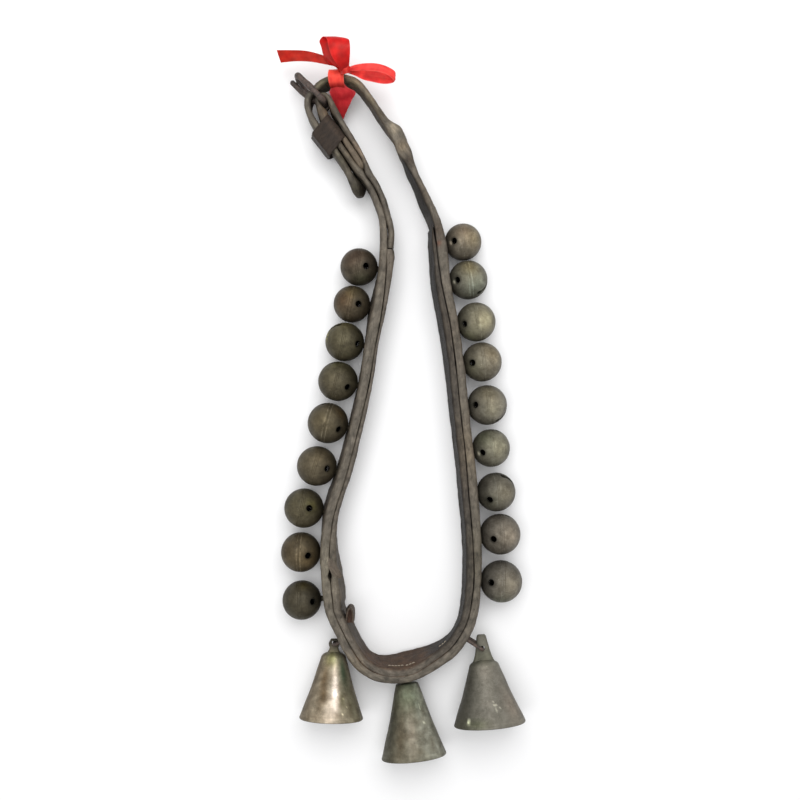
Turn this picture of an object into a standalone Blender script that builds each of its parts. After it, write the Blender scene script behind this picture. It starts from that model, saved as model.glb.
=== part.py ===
"""Horse neck strap of sleigh bells, lying on its edge in a teardrop loop.

Eighteen round crotal bells and three open-mouth clapper bells hang on a two-layer leather strap
that closes with a buckle and a billet. The strap's layers stand upright, +Z is up, +Y runs from the
clapper bells to the buckle, and everything rests on Z = 0.
"""

import math
from collections import namedtuple

import bmesh
import bpy
from mathutils import Matrix, Vector

MM = 0.001
UP = Vector((0, 0, 1))

# Shifts the whole object so that its bounding box is centred on the origin.
ORIGIN = Vector((-0.7, 3.4, 0.0)) * MM

# Running gap between pieces that touch on the real object.
GAP = 0.3

# Leather, in millimetres: thickness across the loop and height above the table.
BODY_THICK = 6.5
BODY_HIGH = 31.0
LINER_THICK = 5.2
LINER_HIGH = 29.5
LAYER_GAP = 0.95
CHAPE_THICK = 4.2
BILLET_THICK = 5.2
BILLET_HIGH = 23.0
CORNER = 1.1
SECTION_STEP = 10.5
CHANNEL_DEEP = 3.9
CHANNEL_HIGH = 8.0

# Crotal bells, in millimetres. The shank passes the outer layer and a wire passes its eye.
NOMINAL_RADIUS = 16.0
CROTAL_WALL = 2.0
BELL_GAP = 0.6
SHANK_RADIUS = 2.1
EYE_RADIUS = 1.3
SHANK_HOLE_RADIUS = 2.8
EYE_DEPTH = 1.6
THROAT_WIDE = 3.0
THROAT_END_RADIUS = 2.4
THROAT_REACH_DEG = 65.0
SOUND_HOLE_RADIUS = 2.6
PELLET_RADIUS = 4.8
# Share of the inner radius that the cavity's flat facets leave free.
CAVITY_SHARE = 0.9
WIRE_RADIUS = 0.6

# x, y: centre; diameter; heading of the shank; hole: how far the sound holes sit towards the shank;
# roll about the shank; slit: extra roll of the throat; slack: spare shank between bell and strap.
# Millimetres and degrees.
Bell = namedtuple("Bell", "x y diameter heading hole roll slit slack", defaults=(0.0,))
LEFT_BELLS = (
    Bell(-33.6, 109.1, 30.6, -7.0, 25.0, 1.0, 0.0),
    Bell(-39.4, 78.7, 30.2, -10.7, 24.0, 0.0, 0.0),
    Bell(-45.3, 47.6, 31.8, -10.2, 46.0, 1.0, 27.0),
    Bell(-50.8, 15.3, 32.4, -11.7, 36.0, 14.0, 0.0),
    Bell(-59.0, -18.9, 33.2, -13.9, 40.0, 11.0, 2.0),
    Bell(-68.1, -54.1, 32.6, -15.8, 36.0, -6.0, 0.0),
    Bell(-78.7, -88.6, 32.2, -10.5, 20.0, -10.0, 0.0),
    Bell(-81.2, -124.6, 32.4, -1.3, 27.0, 2.0, 0.0),
    Bell(-80.4, -164.0, 31.8, 4.6, 40.0, -2.0, 0.0, 3.6),
)
RIGHT_BELLS = (
    Bell(51.7, 129.6, 30.2, 187.5, 33.0, 0.0, 0.0),
    Bell(55.8, 98.4, 31.8, 189.2, 38.0, 0.0, 29.0),
    Bell(62.3, 64.0, 32.0, 189.6, 42.0, -4.0, 0.0),
    Bell(67.2, 31.2, 32.2, 187.5, 34.0, 0.0, 0.0),
    Bell(71.3, -4.1, 32.6, 186.0, 40.0, 6.0, 19.0),
    Bell(74.6, -39.4, 31.0, 185.9, 33.0, -10.0, 0.0),
    Bell(78.7, -75.4, 31.8, 186.0, 26.0, -18.0, -8.0),
    Bell(82.0, -109.9, 33.2, 183.2, 25.0, -6.0, 0.0),
    Bell(82.8, -148.4, 34.2, 179.0, 34.0, 6.0, 0.0),
)

# Leans of the strap's top edge away from the loop beside each bell, in degrees.
LEFT_LEANS = (-3.0, -8.0, -3.0, -5.0, -7.0, -8.0, -8.0, 0.0, 6.0)
RIGHT_LEANS = (5.0, 6.0, 6.0, 5.0, 4.0, 4.0, 4.0, 3.0, 2.0)

# Stations of the strap that no bell fixes: x, y and lean. Along the strap the outer layer starts at
# the end of the fold-back, turns round the buckle's bar and ends at the billet's tip.
FOLD_BACK = (
    (-8.0, 125.2, 0.0),
    (-7.2, 136.6, 0.0),
    (-10.0, 149.0, 0.0),
    (-15.2, 166.0, 0.0),
    (-26.2, 186.2, 0.0),
    (-36.2, 206.0, 0.0),
    (-45.6, 221.6, 0.0),
    (-53.4, 235.6, 0.0),
)
BUCKLE_BAR = (-61.9, 241.3)
FOLD_ANGLES = (30.0, 75.0, 120.0, 165.0, 205.0)
CHAPE = (
    (-63.2, 229.0, 0.0),
    (-56.2, 217.0, 0.0),
    (-47.1, 203.6, 0.0),
    (-35.0, 186.2, 0.0),
    (-28.8, 178.6, 0.0),
    (-24.2, 172.4, 0.0),
    (-19.4, 162.3, 0.0),
    (-14.9, 149.1, 0.0),
    (-13.4, 134.7, 0.0),
)
BOTTOM = (
    (-55.9, -171.6, 3.0),
    (-48.4, -188.4, 3.0),
    (-40.2, -204.3, 2.0),
    (-32.1, -215.2, 1.0),
    (-20.5, -222.0, 3.0),
    (-6.2, -223.2, 9.0),
    (7.4, -220.9, 14.0),
    (18.0, -217.6, 9.0),
    (29.3, -212.7, 2.0),
    (43.4, -203.9, -3.0),
    (53.0, -191.6, -4.0),
    (58.6, -176.8, 0.0),
)
BILLET = (
    (28.4, 145.2, 4.0),
    (21.0, 164.0, 2.0),
    (11.2, 185.7, 0.0),
    (4.9, 202.4, -7.0),
    (-2.6, 214.2, -7.0),
    (-12.6, 226.5, 0.0),
    (-24.7, 244.6, 0.0),
    (-34.2, 256.4, 0.0),
    (-42.0, 259.8, 0.0),
    (-50.0, 260.6, 0.0),
    (-58.0, 259.0, 0.0),
    (-64.6, 255.2, 0.0),
    (-70.0, 249.8, 0.0),
    (-74.0, 244.6, 0.0),
    (-74.8, 238.4, 0.0),
    (-72.6, 230.5, 0.0),
    (-67.8, 222.0, 0.0),
    (-62.0, 213.2, 0.0),
    (-53.9, 203.2, 0.0),
    (-46.6, 192.6, 2.0),
    (-40.2, 182.6, 8.0),
    (-35.9, 174.6, 16.0),
    (-34.0, 169.4, 19.0),
    (-33.0, 165.8, 20.0),
)
BULGE_STATIONS = (3, 4)
BULGE_THICK = 8.2
TIP_HEIGHTS = (22.0, 18.0, 8.0)
LINER_TOP_LEFT = (-13.9, 121.5, 0.0)
LINER_TOP_RIGHT = (29.6, 141.0, 4.0)
BUCKLE_Z = 17.8

# Buckle, in millimetres. Its frame stands on edge like the strap.
FRAME_ROD = 2.6
FRAME_LONG = 28.6
FRAME_HIGH = 30.0
FRAME_HEADING = 136.0
FRAME_CORNER = 4.0
TONGUE_ROD = 1.9
TONGUE_RING = 5.2
TONGUE_RING_HIGH = 4.0
TONGUE_SIDE = 5.0
TONGUE_REACH = 32.0
# Two corners of each slot, along and across the frame from the bar.
TONGUE_SLOTS = (((-6.0, -8.0), (9.0, 8.0)), ((8.0, -3.0), (20.0, 13.0)))
TONGUE_SLOT_HIGH = 5.8

# Keeper: a leather box loop round the chape and the billet, sewn between the chape's layers.
KEEPER_AT = (-57.4, 213.5)
KEEPER_HEADING = -51.0
KEEPER_LONG = 23.0
KEEPER_ACROSS = 21.0
KEEPER_HIGH = 28.4
KEEPER_WALL = 2.0
KEEPER_TAIL = (
    (-45.9, 211.5),
    (-40.8, 203.4),
    (-34.9, 193.4),
    (-31.9, 188.4),
)
KEEPER_TAIL_SIZE = (2.6, 20.0)

# Clapper bells: x, y, z of the hanging hole; heading of the mouth; pitch of the axis; hole to crown;
# hole to mouth; mouth radius; shoulder radius; tab half widths at crown and tip; tab tip distance.
Cone = namedtuple(
    "Cone", "name x y heading pitch crown mouth radius shoulder tab_wide tab_tip tab_end"
)
CONES = (
    Cone("left", -54.0, -199.5, 268.3, 10.0, 6.5, 59.5, 25.7, 10.6, 5.0, 3.6, 3.6),
    Cone("middle", 5.4, -229.6, 275.8, 11.0, 4.0, 60.5, 26.2, 11.4, 4.4, 3.6, 3.2),
    Cone("right", 67.4, -203.0, 275.0, 10.5, 9.0, 59.5, 28.8, 12.6, 7.4, 3.6, 11.0),
)
CONE_WALL = 2.0
CONE_STEPS = 22
TAB_THICK = 5.0
TAB_HOLE_RADIUS = 2.9
LINK_ROD = 1.2
LINK_HIGH = 13.0
LINK_BEND = 2.4
LINK_HOLE_RADIUS = 1.65
PIN_RADIUS = 1.3
PIN_DEPTH = 9.0
CLAPPER_LONG = 37.0
CLAPPER_BALL = 6.2
CLAPPER_EYE = 3.7
CLAPPER_EYE_HIGH = 3.2
CLAPPER_STEM = 1.4

# Ribbon bands: stations hold the middle of the band and half of its width as a vector.
RIBBON_THICK = 0.9
RIBBON_LEFT_TAIL = (
    ((-55.6, 269.6, 30.6), (2.2, 4.4, 0.5)),
    ((-64.5, 273.4, 30.6), (1.6, 5.0, 0.8)),
    ((-74.0, 275.8, 29.0), (0.8, 5.2, 0.6)),
    ((-85.0, 277.0, 26.0), (0.2, 5.4, 0.4)),
    ((-98.0, 276.6, 22.5), (-1.6, 5.2, 0.0)),
)
RIBBON_UPPER_LOOP = (
    ((-44.5, 266.6, 38.6), (4.6, -0.6, -0.6)),
    ((-46.0, 273.2, 44.0), (5.2, 0.2, -0.6)),
    ((-46.8, 280.0, 47.0), (5.6, 0.4, -0.4)),
    ((-48.0, 285.0, 45.6), (6.2, 0.2, 0.0)),
    ((-51.0, 287.0, 41.0), (7.0, 0.0, 0.4)),
    ((-55.0, 284.6, 36.0), (6.6, -0.8, 1.0)),
    ((-56.2, 278.0, 35.0), (5.6, -1.4, 1.0)),
    ((-52.5, 271.6, 36.6), (4.4, -1.6, 0.4)),
)
RIBBON_RIGHT_LOOP = (
    ((-38.6, 266.2, 38.0), (0.6, 3.2, 1.0)),
    ((-30.0, 267.6, 42.5), (-0.4, 4.4, 1.6)),
    ((-19.0, 267.4, 43.0), (-0.6, 5.0, 1.2)),
    ((-10.0, 264.6, 40.0), (0.6, 5.2, 0.6)),
    ((-6.4, 261.6, 35.0), (1.2, 5.0, 0.0)),
    ((-10.5, 260.0, 30.8), (0.6, 5.0, -0.4)),
    ((-20.0, 261.4, 30.0), (0.0, 4.8, -1.0)),
    ((-30.0, 264.8, 32.4), (0.0, 4.0, -1.2)),
    ((-37.4, 266.4, 34.6), (0.4, 3.0, -0.6)),
)
RIBBON_LOWER_TAIL = (
    ((-46.6, 253.2, 26.5), (8.6, 0.0, 0.5)),
    ((-46.6, 247.5, 21.0), (7.2, 0.0, 0.4)),
    ((-46.4, 240.0, 16.0), (4.2, 0.0, 0.2)),
    ((-46.2, 232.4, 12.5), (1.0, 0.0, 0.0)),
)
KNOT_AT = (-50.2, 260.2)
KNOT_HEADING = 178.0
KNOT_LONG = 10.5
KNOT_GAP = 0.5
KNOT_ROOM = 1.2


def material(name, colour, roughness, metallic):
    made = bpy.data.materials.new(name)
    made.use_nodes = True
    shader = made.node_tree.nodes["Principled BSDF"]
    shader.inputs["Base Color"].default_value = (*colour, 1)
    shader.inputs["Roughness"].default_value = roughness
    shader.inputs["Metallic"].default_value = metallic
    made.diffuse_color = (*colour, 1)
    return made


def collection(name):
    made = bpy.data.collections.new(name)
    bpy.context.scene.collection.children.link(made)
    return made


def finish_mesh(mesh, finish):
    mesh.materials.clear()
    mesh.materials.append(finish)
    mesh.shade_smooth()
    mesh.set_sharp_from_angle(angle=math.radians(40))


def place(name, mesh, home, finish, matrix=None):
    """One object for one piece, standing where matrix puts it."""
    made = bpy.data.objects.new(name, mesh)
    home.objects.link(made)
    if matrix is not None:
        made.matrix_world = matrix
    finish_mesh(mesh, finish)
    return made


def mesh_from(bm, name):
    """A mesh in metres from a bmesh drawn in millimetres."""
    bmesh.ops.scale(bm, vec=(MM, MM, MM), verts=bm.verts)
    bmesh.ops.recalc_face_normals(bm, faces=bm.faces)
    mesh = bpy.data.meshes.new(name)
    bm.to_mesh(mesh)
    bm.free()
    return mesh


def cylinder(radius, start, end, sides=10):
    """A rod mesh from start to end, in millimetres."""
    start, end = Vector(start), Vector(end)
    run = end - start
    bm = bmesh.new()
    bmesh.ops.create_cone(
        bm, cap_ends=True, segments=sides, radius1=radius, radius2=radius, depth=run.length
    )
    turn = run.to_track_quat("Z", "Y").to_matrix().to_4x4()
    bmesh.ops.transform(bm, matrix=Matrix.Translation((start + end) / 2) @ turn, verts=bm.verts)
    return mesh_from(bm, "rod")


def box(low, high):
    """A box mesh between two corners, in millimetres."""
    low, high = Vector(low), Vector(high)
    bm = bmesh.new()
    bmesh.ops.create_cube(bm, size=1)
    bmesh.ops.scale(bm, vec=high - low, verts=bm.verts)
    bmesh.ops.translate(bm, vec=(low + high) / 2, verts=bm.verts)
    return mesh_from(bm, "box")


def ball(radius, segments, rings, middle=(0, 0, 0)):
    """A sphere mesh whose poles lie on the X axis, in millimetres."""
    bm = bmesh.new()
    bmesh.ops.create_uvsphere(bm, u_segments=segments, v_segments=rings, radius=radius)
    bmesh.ops.rotate(bm, matrix=Matrix.Rotation(math.pi / 2, 3, "Y"), verts=bm.verts)
    bmesh.ops.translate(bm, vec=middle, verts=bm.verts)
    return mesh_from(bm, "ball")


def evaluated_mesh(thing):
    graph = bpy.context.evaluated_depsgraph_get()
    return bpy.data.meshes.new_from_object(thing.evaluated_get(graph))


def carve(base, steps, cutters):
    """The base mesh after each (operation, mesh) step, as one new mesh."""
    body = bpy.data.objects.new("body", base)
    cutters.objects.link(body)
    tools = []
    for operation, shape in steps:
        tool = bpy.data.objects.new("tool", shape)
        tool.hide_render = True
        tool.display_type = "WIRE"
        cutters.objects.link(tool)
        cut = body.modifiers.new("cut", "BOOLEAN")
        cut.operation = operation
        cut.object = tool
        tools.append(tool)
    bpy.context.view_layer.update()
    done = evaluated_mesh(body)
    for thing in (body, *tools):
        bpy.data.objects.remove(thing)
    return done


def curve_mesh(points, radius, resolution, name):
    """A welded tube mesh along points in millimetres."""
    data = bpy.data.curves.new(name, "CURVE")
    data.dimensions = "3D"
    data.bevel_depth = radius * MM
    data.bevel_resolution = resolution
    data.use_fill_caps = True
    data.render_resolution_u = 0
    spline = data.splines.new("POLY")
    spline.points.add(len(points) - 1)
    for knot, point in zip(spline.points, points):
        knot.co = (*(Vector(point) * MM), 1)
    thing = bpy.data.objects.new(name, data)
    bpy.context.scene.collection.objects.link(thing)
    bpy.context.view_layer.update()
    mesh = evaluated_mesh(thing)
    bpy.data.objects.remove(thing)
    bm = bmesh.new()
    bm.from_mesh(mesh)
    bmesh.ops.remove_doubles(bm, verts=bm.verts, dist=0.00001)
    bmesh.ops.recalc_face_normals(bm, faces=bm.faces)
    bm.to_mesh(mesh)
    bm.free()
    return mesh


def loft(rings, name):
    """A closed solid through rings of equally many points, in millimetres."""
    bm = bmesh.new()
    rows = [[bm.verts.new(p) for p in ring] for ring in rings]
    count = len(rows[0])
    for row, after in zip(rows, rows[1:]):
        for i in range(count):
            j = (i + 1) % count
            bm.faces.new((row[i], row[j], after[j], after[i]))
    bm.faces.new(rows[0])
    bm.faces.new(list(reversed(rows[-1])))
    bmesh.ops.triangulate(bm, faces=[f for f in bm.faces if len(f.verts) > 4])
    return mesh_from(bm, name)


def smooth(stations, step):
    """Stations read at about every step along a centripetal spline through all of them."""
    points = [Vector(s) for s in stations]
    ends = [2 * points[0] - points[1], *points, 2 * points[-1] - points[-2]]
    read = []
    for i in range(len(points) - 1):
        p0, p1, p2, p3 = ends[i : i + 4]
        knots = [0.0]
        for a, b in ((p0, p1), (p1, p2), (p2, p3)):
            knots.append(knots[-1] + math.sqrt((b - a).length))
        t0, t1, t2, t3 = knots
        pieces = max(1, round((p2 - p1).length / step))
        for k in range(pieces):
            t = t1 + (t2 - t1) * k / pieces
            a1 = p0 * ((t1 - t) / (t1 - t0)) + p1 * ((t - t0) / (t1 - t0))
            a2 = p1 * ((t2 - t) / (t2 - t1)) + p2 * ((t - t1) / (t2 - t1))
            a3 = p2 * ((t3 - t) / (t3 - t2)) + p3 * ((t - t2) / (t3 - t2))
            b1 = a1 * ((t2 - t) / (t2 - t0)) + a2 * ((t - t0) / (t2 - t0))
            b2 = a2 * ((t3 - t) / (t3 - t1)) + a3 * ((t - t1) / (t3 - t1))
            read.append(b1 * ((t2 - t) / (t2 - t1)) + b2 * ((t - t1) / (t2 - t1)))
    read.append(points[-1])
    return read


def heading(degrees):
    turn = math.radians(degrees)
    return Vector((math.cos(turn), math.sin(turn), 0))


def body_height(lean):
    """Middle height of the outer layer, so that neither leaning layer dips under the table."""
    turn = math.radians(lean)
    outer = BODY_HIGH / 2 * math.cos(turn) + BODY_THICK / 2 * abs(math.sin(turn))
    drop = (BODY_THICK / 2 + LAYER_GAP + LINER_THICK / 2) * math.sin(turn)
    liner = LINER_HIGH / 2 * math.cos(turn) + LINER_THICK / 2 * abs(math.sin(turn)) - drop
    return max(outer, liner) + GAP


def body_station(x, y, lean):
    return (x, y, lean, BODY_THICK, BODY_HIGH, body_height(lean))


def bell_station(bell, lean):
    """Where the strap's outer layer passes the bell's shank."""
    inward = bell.diameter / 2 + BELL_GAP + bell.slack + BODY_THICK / 2
    point = Vector((bell.x, bell.y, 0)) + heading(bell.heading) * inward
    return body_station(point.x, point.y, lean)


def side_stations(bells, leans):
    return [bell_station(bell, lean) for bell, lean in zip(bells, leans)]


def body_stretch():
    """Stations of the two-layer stretch: down the left side, round the bottom, up the right."""
    left = side_stations(LEFT_BELLS, LEFT_LEANS)
    right = side_stations(RIGHT_BELLS, RIGHT_LEANS)
    bottom = [body_station(*s) for s in BOTTOM]
    return left + bottom + list(reversed(right))


def chape_station(x, y, lean):
    return (x, y, lean, CHAPE_THICK, BILLET_HIGH, BUCKLE_Z)


def fold_stations():
    """Stations of the turn round the buckle's bar."""
    reach = FRAME_ROD + GAP + CHAPE_THICK / 2
    for angle in FOLD_ANGLES:
        point = Vector((*BUCKLE_BAR, 0)) + heading(angle) * reach
        yield chape_station(point.x, point.y, 0.0)


def billet_stations():
    """Stations from the liner's right end over the arch to the billet's tip."""
    last = len(BILLET) - len(TIP_HEIGHTS)
    for i, (x, y, lean) in enumerate(BILLET):
        thick = BULGE_THICK if i in BULGE_STATIONS else BILLET_THICK
        high = BILLET_HIGH if i < last else TIP_HEIGHTS[i - last]
        share = min(1.0, i / 8)
        middle = BODY_HIGH / 2 + GAP + (BUCKLE_Z - BODY_HIGH / 2 - GAP) * share
        if i == 0:
            high = (BODY_HIGH + BILLET_HIGH) / 2
        yield (x, y, lean, thick, high, middle)


def outer_stations():
    chape = [chape_station(*s) for s in CHAPE[:-2]]
    grow = [
        (*CHAPE[-2], (BODY_THICK + 2 * CHAPE_THICK) / 3, 26.0, 17.0),
        (*CHAPE[-1], (2 * BODY_THICK + CHAPE_THICK) / 3, 29.0, 16.3),
    ]
    back = [chape_station(*s) for s in FOLD_BACK]
    return back + list(fold_stations()) + chape + grow + body_stretch() + list(billet_stations())


def frames_along(read):
    """For each read station: its middle, the upright normal pointing out of the loop, and up."""
    for i, s in enumerate(read):
        before, after = read[max(i - 1, 0)], read[min(i + 1, len(read) - 1)]
        run = Vector((after[0] - before[0], after[1] - before[1], 0)).normalized()
        out = Vector((run.y, -run.x, 0))
        turn = math.radians(s[2])
        across = out * math.cos(turn) - UP * math.sin(turn)
        upright = out * math.sin(turn) + UP * math.cos(turn)
        yield Vector((s[0], s[1], s[5])), across, upright


def rounded_section(thick, high):
    """Corners of a strap's section as (across, up) pairs, chamfered."""
    a, b = thick / 2, high / 2
    c = min(CORNER, a * 0.6, b * 0.6)
    return (
        (a - c, b), (a, b - c), (a, c - b), (a - c, -b),
        (c - a, -b), (-a, c - b), (-a, b - c), (c - a, b),
    )


def channel_section(thick, high, deep, rise):
    """A liner section with a channel on the side facing the outer layer."""
    a, b, half = thick / 2, high / 2, CHANNEL_HIGH / 2
    return (
        (a - CORNER, b), (a, b - CORNER), (a, rise + half), (a - deep, rise + half),
        (a - deep, rise - half), (a, rise - half), (a, CORNER - b), (a - CORNER, -b),
        (CORNER - a, -b), (-a, CORNER - b), (-a, b - CORNER), (CORNER - a, b),
    )


def vectors(stations):
    """Six-number stations as 6-D vectors."""
    return [Vector(s) for s in stations]


def outer_strap_mesh():
    read = smooth(vectors(outer_stations()), SECTION_STEP)
    rings = []
    for s, (middle, across, upright) in zip(read, frames_along(read)):
        section = rounded_section(s[3], s[4])
        rings.append([middle + across * a + upright * b for a, b in section])
    return loft(rings, "outer_strap")


def liner_mesh(wire_height):
    """The inner layer, with the channel that holds the shanks' eyes and their wires."""
    ends = (body_station(*LINER_TOP_LEFT), body_station(*LINER_TOP_RIGHT))
    read = smooth(vectors([ends[0], *body_stretch(), ends[1]]), SECTION_STEP)
    inward = BODY_THICK / 2 + LAYER_GAP + LINER_THICK / 2
    rings = []
    last = len(read) - 1
    for i, (middle, across, upright) in enumerate(frames_along(read)):
        core = middle - across * inward
        deep = CHANNEL_DEEP if 0 < i < last else 0.4
        rise = (wire_height - core.z) / upright.z
        section = channel_section(LINER_THICK, LINER_HIGH, deep, rise)
        rings.append([core + across * a + upright * b for a, b in section])
    return loft(rings, "liner_strap")


def shank_reach(bell):
    """Distance from the bell's centre to the middle of its shank's eye."""
    return bell.diameter / 2 + BELL_GAP + bell.slack + BODY_THICK + EYE_DEPTH


def eye_point(bell):
    flat = Vector((bell.x, bell.y, 0)) + heading(bell.heading) * shank_reach(bell)
    return Vector((flat.x, flat.y, bell.diameter / 2))


def crotal_mesh(bell, cutters):
    """A hollow round bell: centre at the origin, shank on +X, sound holes up and down."""
    radius = bell.diameter / 2
    inner = radius - CROTAL_WALL
    eye_at = shank_reach(bell)
    tip = eye_at + SHANK_RADIUS
    eye = cylinder(EYE_RADIUS, (eye_at, -4, 0), (eye_at, 4, 0), 6)
    eye.transform(Matrix.Rotation(-math.radians(bell.roll), 4, "X"))
    throat = math.radians(bell.slit)
    side = Vector((0, math.cos(throat), math.sin(throat)))
    reach = math.radians(THROAT_REACH_DEG)
    slit = box(
        (-radius - 2, -radius - 2, -THROAT_WIDE / 2),
        (-radius * math.cos(reach), radius + 2, THROAT_WIDE / 2),
    )
    slit.transform(Matrix.Rotation(throat, 4, "X"))
    steps = [
        ("UNION", cylinder(SHANK_RADIUS, (inner + 1, 0, 0), (tip, 0, 0), 6)),
        ("DIFFERENCE", ball(inner, 8, 6)),
        ("DIFFERENCE", eye),
        ("DIFFERENCE", slit),
    ]
    for sign in (-1, 1):
        out = Vector((-math.cos(reach), 0, 0)) + side * math.sin(reach) * sign
        end_hole = cylinder(THROAT_END_RADIUS, out * (inner - 4), out * (radius + 2), 6)
        steps.append(("DIFFERENCE", end_hole))
    for sign in (-1, 1):
        slope = math.radians(bell.hole)
        out = Vector((math.sin(slope), 0, sign * math.cos(slope)))
        steps.append(("DIFFERENCE", cylinder(SOUND_HOLE_RADIUS, out * 6, out * (radius + 2), 7)))
    return carve(ball(radius, 12, 8), steps, cutters)


def crotal_matrix(bell, roll=True):
    centre = Vector((bell.x, bell.y, bell.diameter / 2)) * MM + ORIGIN
    turn = Matrix.Rotation(math.radians(bell.heading), 4, "Z")
    if roll:
        turn = turn @ Matrix.Rotation(math.radians(bell.roll), 4, "X")
    return Matrix.Translation(centre) @ turn


def pellet_mesh(bell):
    """A loose iron ball lying on the bottom of its bell; the origin is the bell's centre."""
    low = (bell.diameter / 2 - CROTAL_WALL) * CAVITY_SHARE - PELLET_RADIUS - GAP
    bm = bmesh.new()
    bmesh.ops.create_icosphere(bm, subdivisions=1, radius=PELLET_RADIUS)
    bmesh.ops.translate(bm, vec=(0, 0, -low), verts=bm.verts)
    return mesh_from(bm, "pellet")


def wire_mesh(bells, name):
    """The binding wire through the nine shank eyes, following the strap's bend between them."""
    eyes = [eye_point(bell) for bell in bells]
    read = smooth(vectors(body_stretch()), SECTION_STEP)
    inward = BODY_THICK / 2 + EYE_DEPTH
    route = []
    for s, (middle, across, _) in zip(read, frames_along(read)):
        flat = Vector((across.x, across.y, 0)).normalized()
        point = middle - flat * inward
        gaps = [(Vector((e.x, e.y, 0)) - Vector((point.x, point.y, 0))).length for e in eyes]
        near = min(gaps)
        if near < 1.0:
            route.append(eyes[gaps.index(near)])
        elif near < 21.0 and route_between(point, eyes):
            route.append(Vector((point.x, point.y, NOMINAL_RADIUS)))
    first = route[0] + (route[0] - route[1]).normalized() * 5
    last = route[-1] + (route[-1] - route[-2]).normalized() * 5
    return curve_mesh([first, *route, last], WIRE_RADIUS, 1, name)


def route_between(point, eyes):
    """Whether a point lies between the first and the last eye along Y."""
    high, low = max(e.y for e in eyes), min(e.y for e in eyes)
    return low < point.y < high


def cone_axis(cone):
    """Unit vectors of a clapper bell: towards the mouth, sideways, and the third across both."""
    flat = heading(cone.heading)
    pitch = math.radians(cone.pitch)
    down_axis = flat * math.cos(pitch) + UP * math.sin(pitch)
    side = Vector((-flat.y, flat.x, 0))
    return down_axis, side, down_axis.cross(side)


def hole_height(cone):
    """Height of the hanging hole, with the mouth's lowest point on the table."""
    pitch = math.radians(cone.pitch)
    return cone.radius * math.cos(pitch) - cone.mouth * math.sin(pitch) + GAP


def cone_matrix(cone):
    """Local -Z points at the mouth and local X lies level; the origin is the hanging hole."""
    down_axis, side, _ = cone_axis(cone)
    up_axis = -down_axis
    third = up_axis.cross(side)
    centre = Vector((cone.x, cone.y, hole_height(cone))) * MM + ORIGIN
    turn = Matrix((side, third, up_axis)).transposed().to_4x4()
    return Matrix.Translation(centre) @ turn


def cone_profile(cone):
    """Outer side from the crown down to the rim, then back up the inner side."""
    crown, mouth, wide, neck = cone.crown, cone.mouth, cone.radius, cone.shoulder
    return (
        (0, -crown), (neck * 0.62, -crown - 0.5), (neck * 0.88, -crown - 2.6),
        (neck, -crown - 6.0), (wide - 0.5, -mouth + 1.6), (wide, -mouth + 0.4),
        (wide - 0.6, -mouth), (wide - CONE_WALL, -mouth + 0.3),
        (neck - CONE_WALL + 0.1, -crown - 7.0), (neck * 0.6, -crown - 3.4), (0, -crown - 2.6),
    )


def turned_mesh(profile, steps):
    """A turned shell from a profile in the XZ half plane."""
    bm = bmesh.new()
    row = [bm.verts.new((x * MM, 0, z * MM)) for x, z in profile]
    for a, b in zip(row, row[1:]):
        bm.edges.new((a, b))
    mesh = bpy.data.meshes.new("turned")
    bm.to_mesh(mesh)
    bm.free()
    thing = bpy.data.objects.new("turned", mesh)
    bpy.context.scene.collection.objects.link(thing)
    screw = thing.modifiers.new("screw", "SCREW")
    screw.steps = steps
    screw.render_steps = steps
    screw.use_merge_vertices = True
    screw.merge_threshold = 0.00005
    bpy.context.view_layer.update()
    done = evaluated_mesh(thing)
    bpy.data.objects.remove(thing)
    return done


def tab_mesh(cone):
    """The hanging tab: a plate that narrows from the crown to its tip."""
    low = -cone.crown - 1.6
    bm = bmesh.new()
    bmesh.ops.create_cube(bm, size=1)
    for v in bm.verts:
        half = cone.tab_wide if v.co.z < 0 else cone.tab_tip
        v.co = (math.copysign(half, v.co.x), math.copysign(TAB_THICK / 2, v.co.y),
                low if v.co.z < 0 else cone.tab_end)
    bmesh.ops.bevel(
        bm, geom=[e for e in bm.edges if abs(e.verts[0].co.z - e.verts[1].co.z) > 1],
        offset=1.0, segments=1, profile=0.5, affect="EDGES",
    )
    return mesh_from(bm, "tab")


def cone_bell_mesh(cone, cutters):
    pin_z = -cone.crown - PIN_DEPTH
    steps = [
        ("UNION", tab_mesh(cone)),
        ("DIFFERENCE", cylinder(TAB_HOLE_RADIUS, (0, -8, 0), (0, 8, 0), 12)),
        ("DIFFERENCE", cylinder(PIN_RADIUS + GAP, (-40, 0, pin_z), (40, 0, pin_z), 8)),
    ]
    return carve(turned_mesh(cone_profile(cone), CONE_STEPS), steps, cutters)


def flank(cone):
    """Inner radius at the clapper's pin, and the flare's angle."""
    rise = cone.mouth - 1.6 - (cone.crown + 6.0)
    flare = math.atan2(cone.radius - 0.5 - cone.shoulder, rise)
    at_pin = cone.shoulder + (PIN_DEPTH - 6.0) * math.tan(flare) - CONE_WALL
    return at_pin, flare


def clapper_rest(cone):
    """Angle between the clapper and the bell's axis when it lies on the lower wall."""
    at_pin, flare = flank(cone)
    spare = at_pin * math.cos(flare) - CLAPPER_BALL - 3 * GAP
    return flare + math.asin(spare / CLAPPER_LONG)


def clapper_mesh(cutters):
    """Eye round the X axis at the origin, stem and ball hanging along -Z."""
    half = CLAPPER_EYE_HIGH / 2
    steps = [
        ("UNION", cylinder(CLAPPER_STEM, (0, 0, -2.6), (0, 0, -CLAPPER_LONG + 2), 8)),
        ("UNION", ball(CLAPPER_BALL, 10, 7, (0, 0, -CLAPPER_LONG))),
        ("DIFFERENCE", cylinder(PIN_RADIUS + 2 * GAP, (-9, 0, 0), (9, 0, 0), 10)),
    ]
    return carve(cylinder(CLAPPER_EYE, (-half, 0, 0), (half, 0, 0), 12), steps, cutters)


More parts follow.
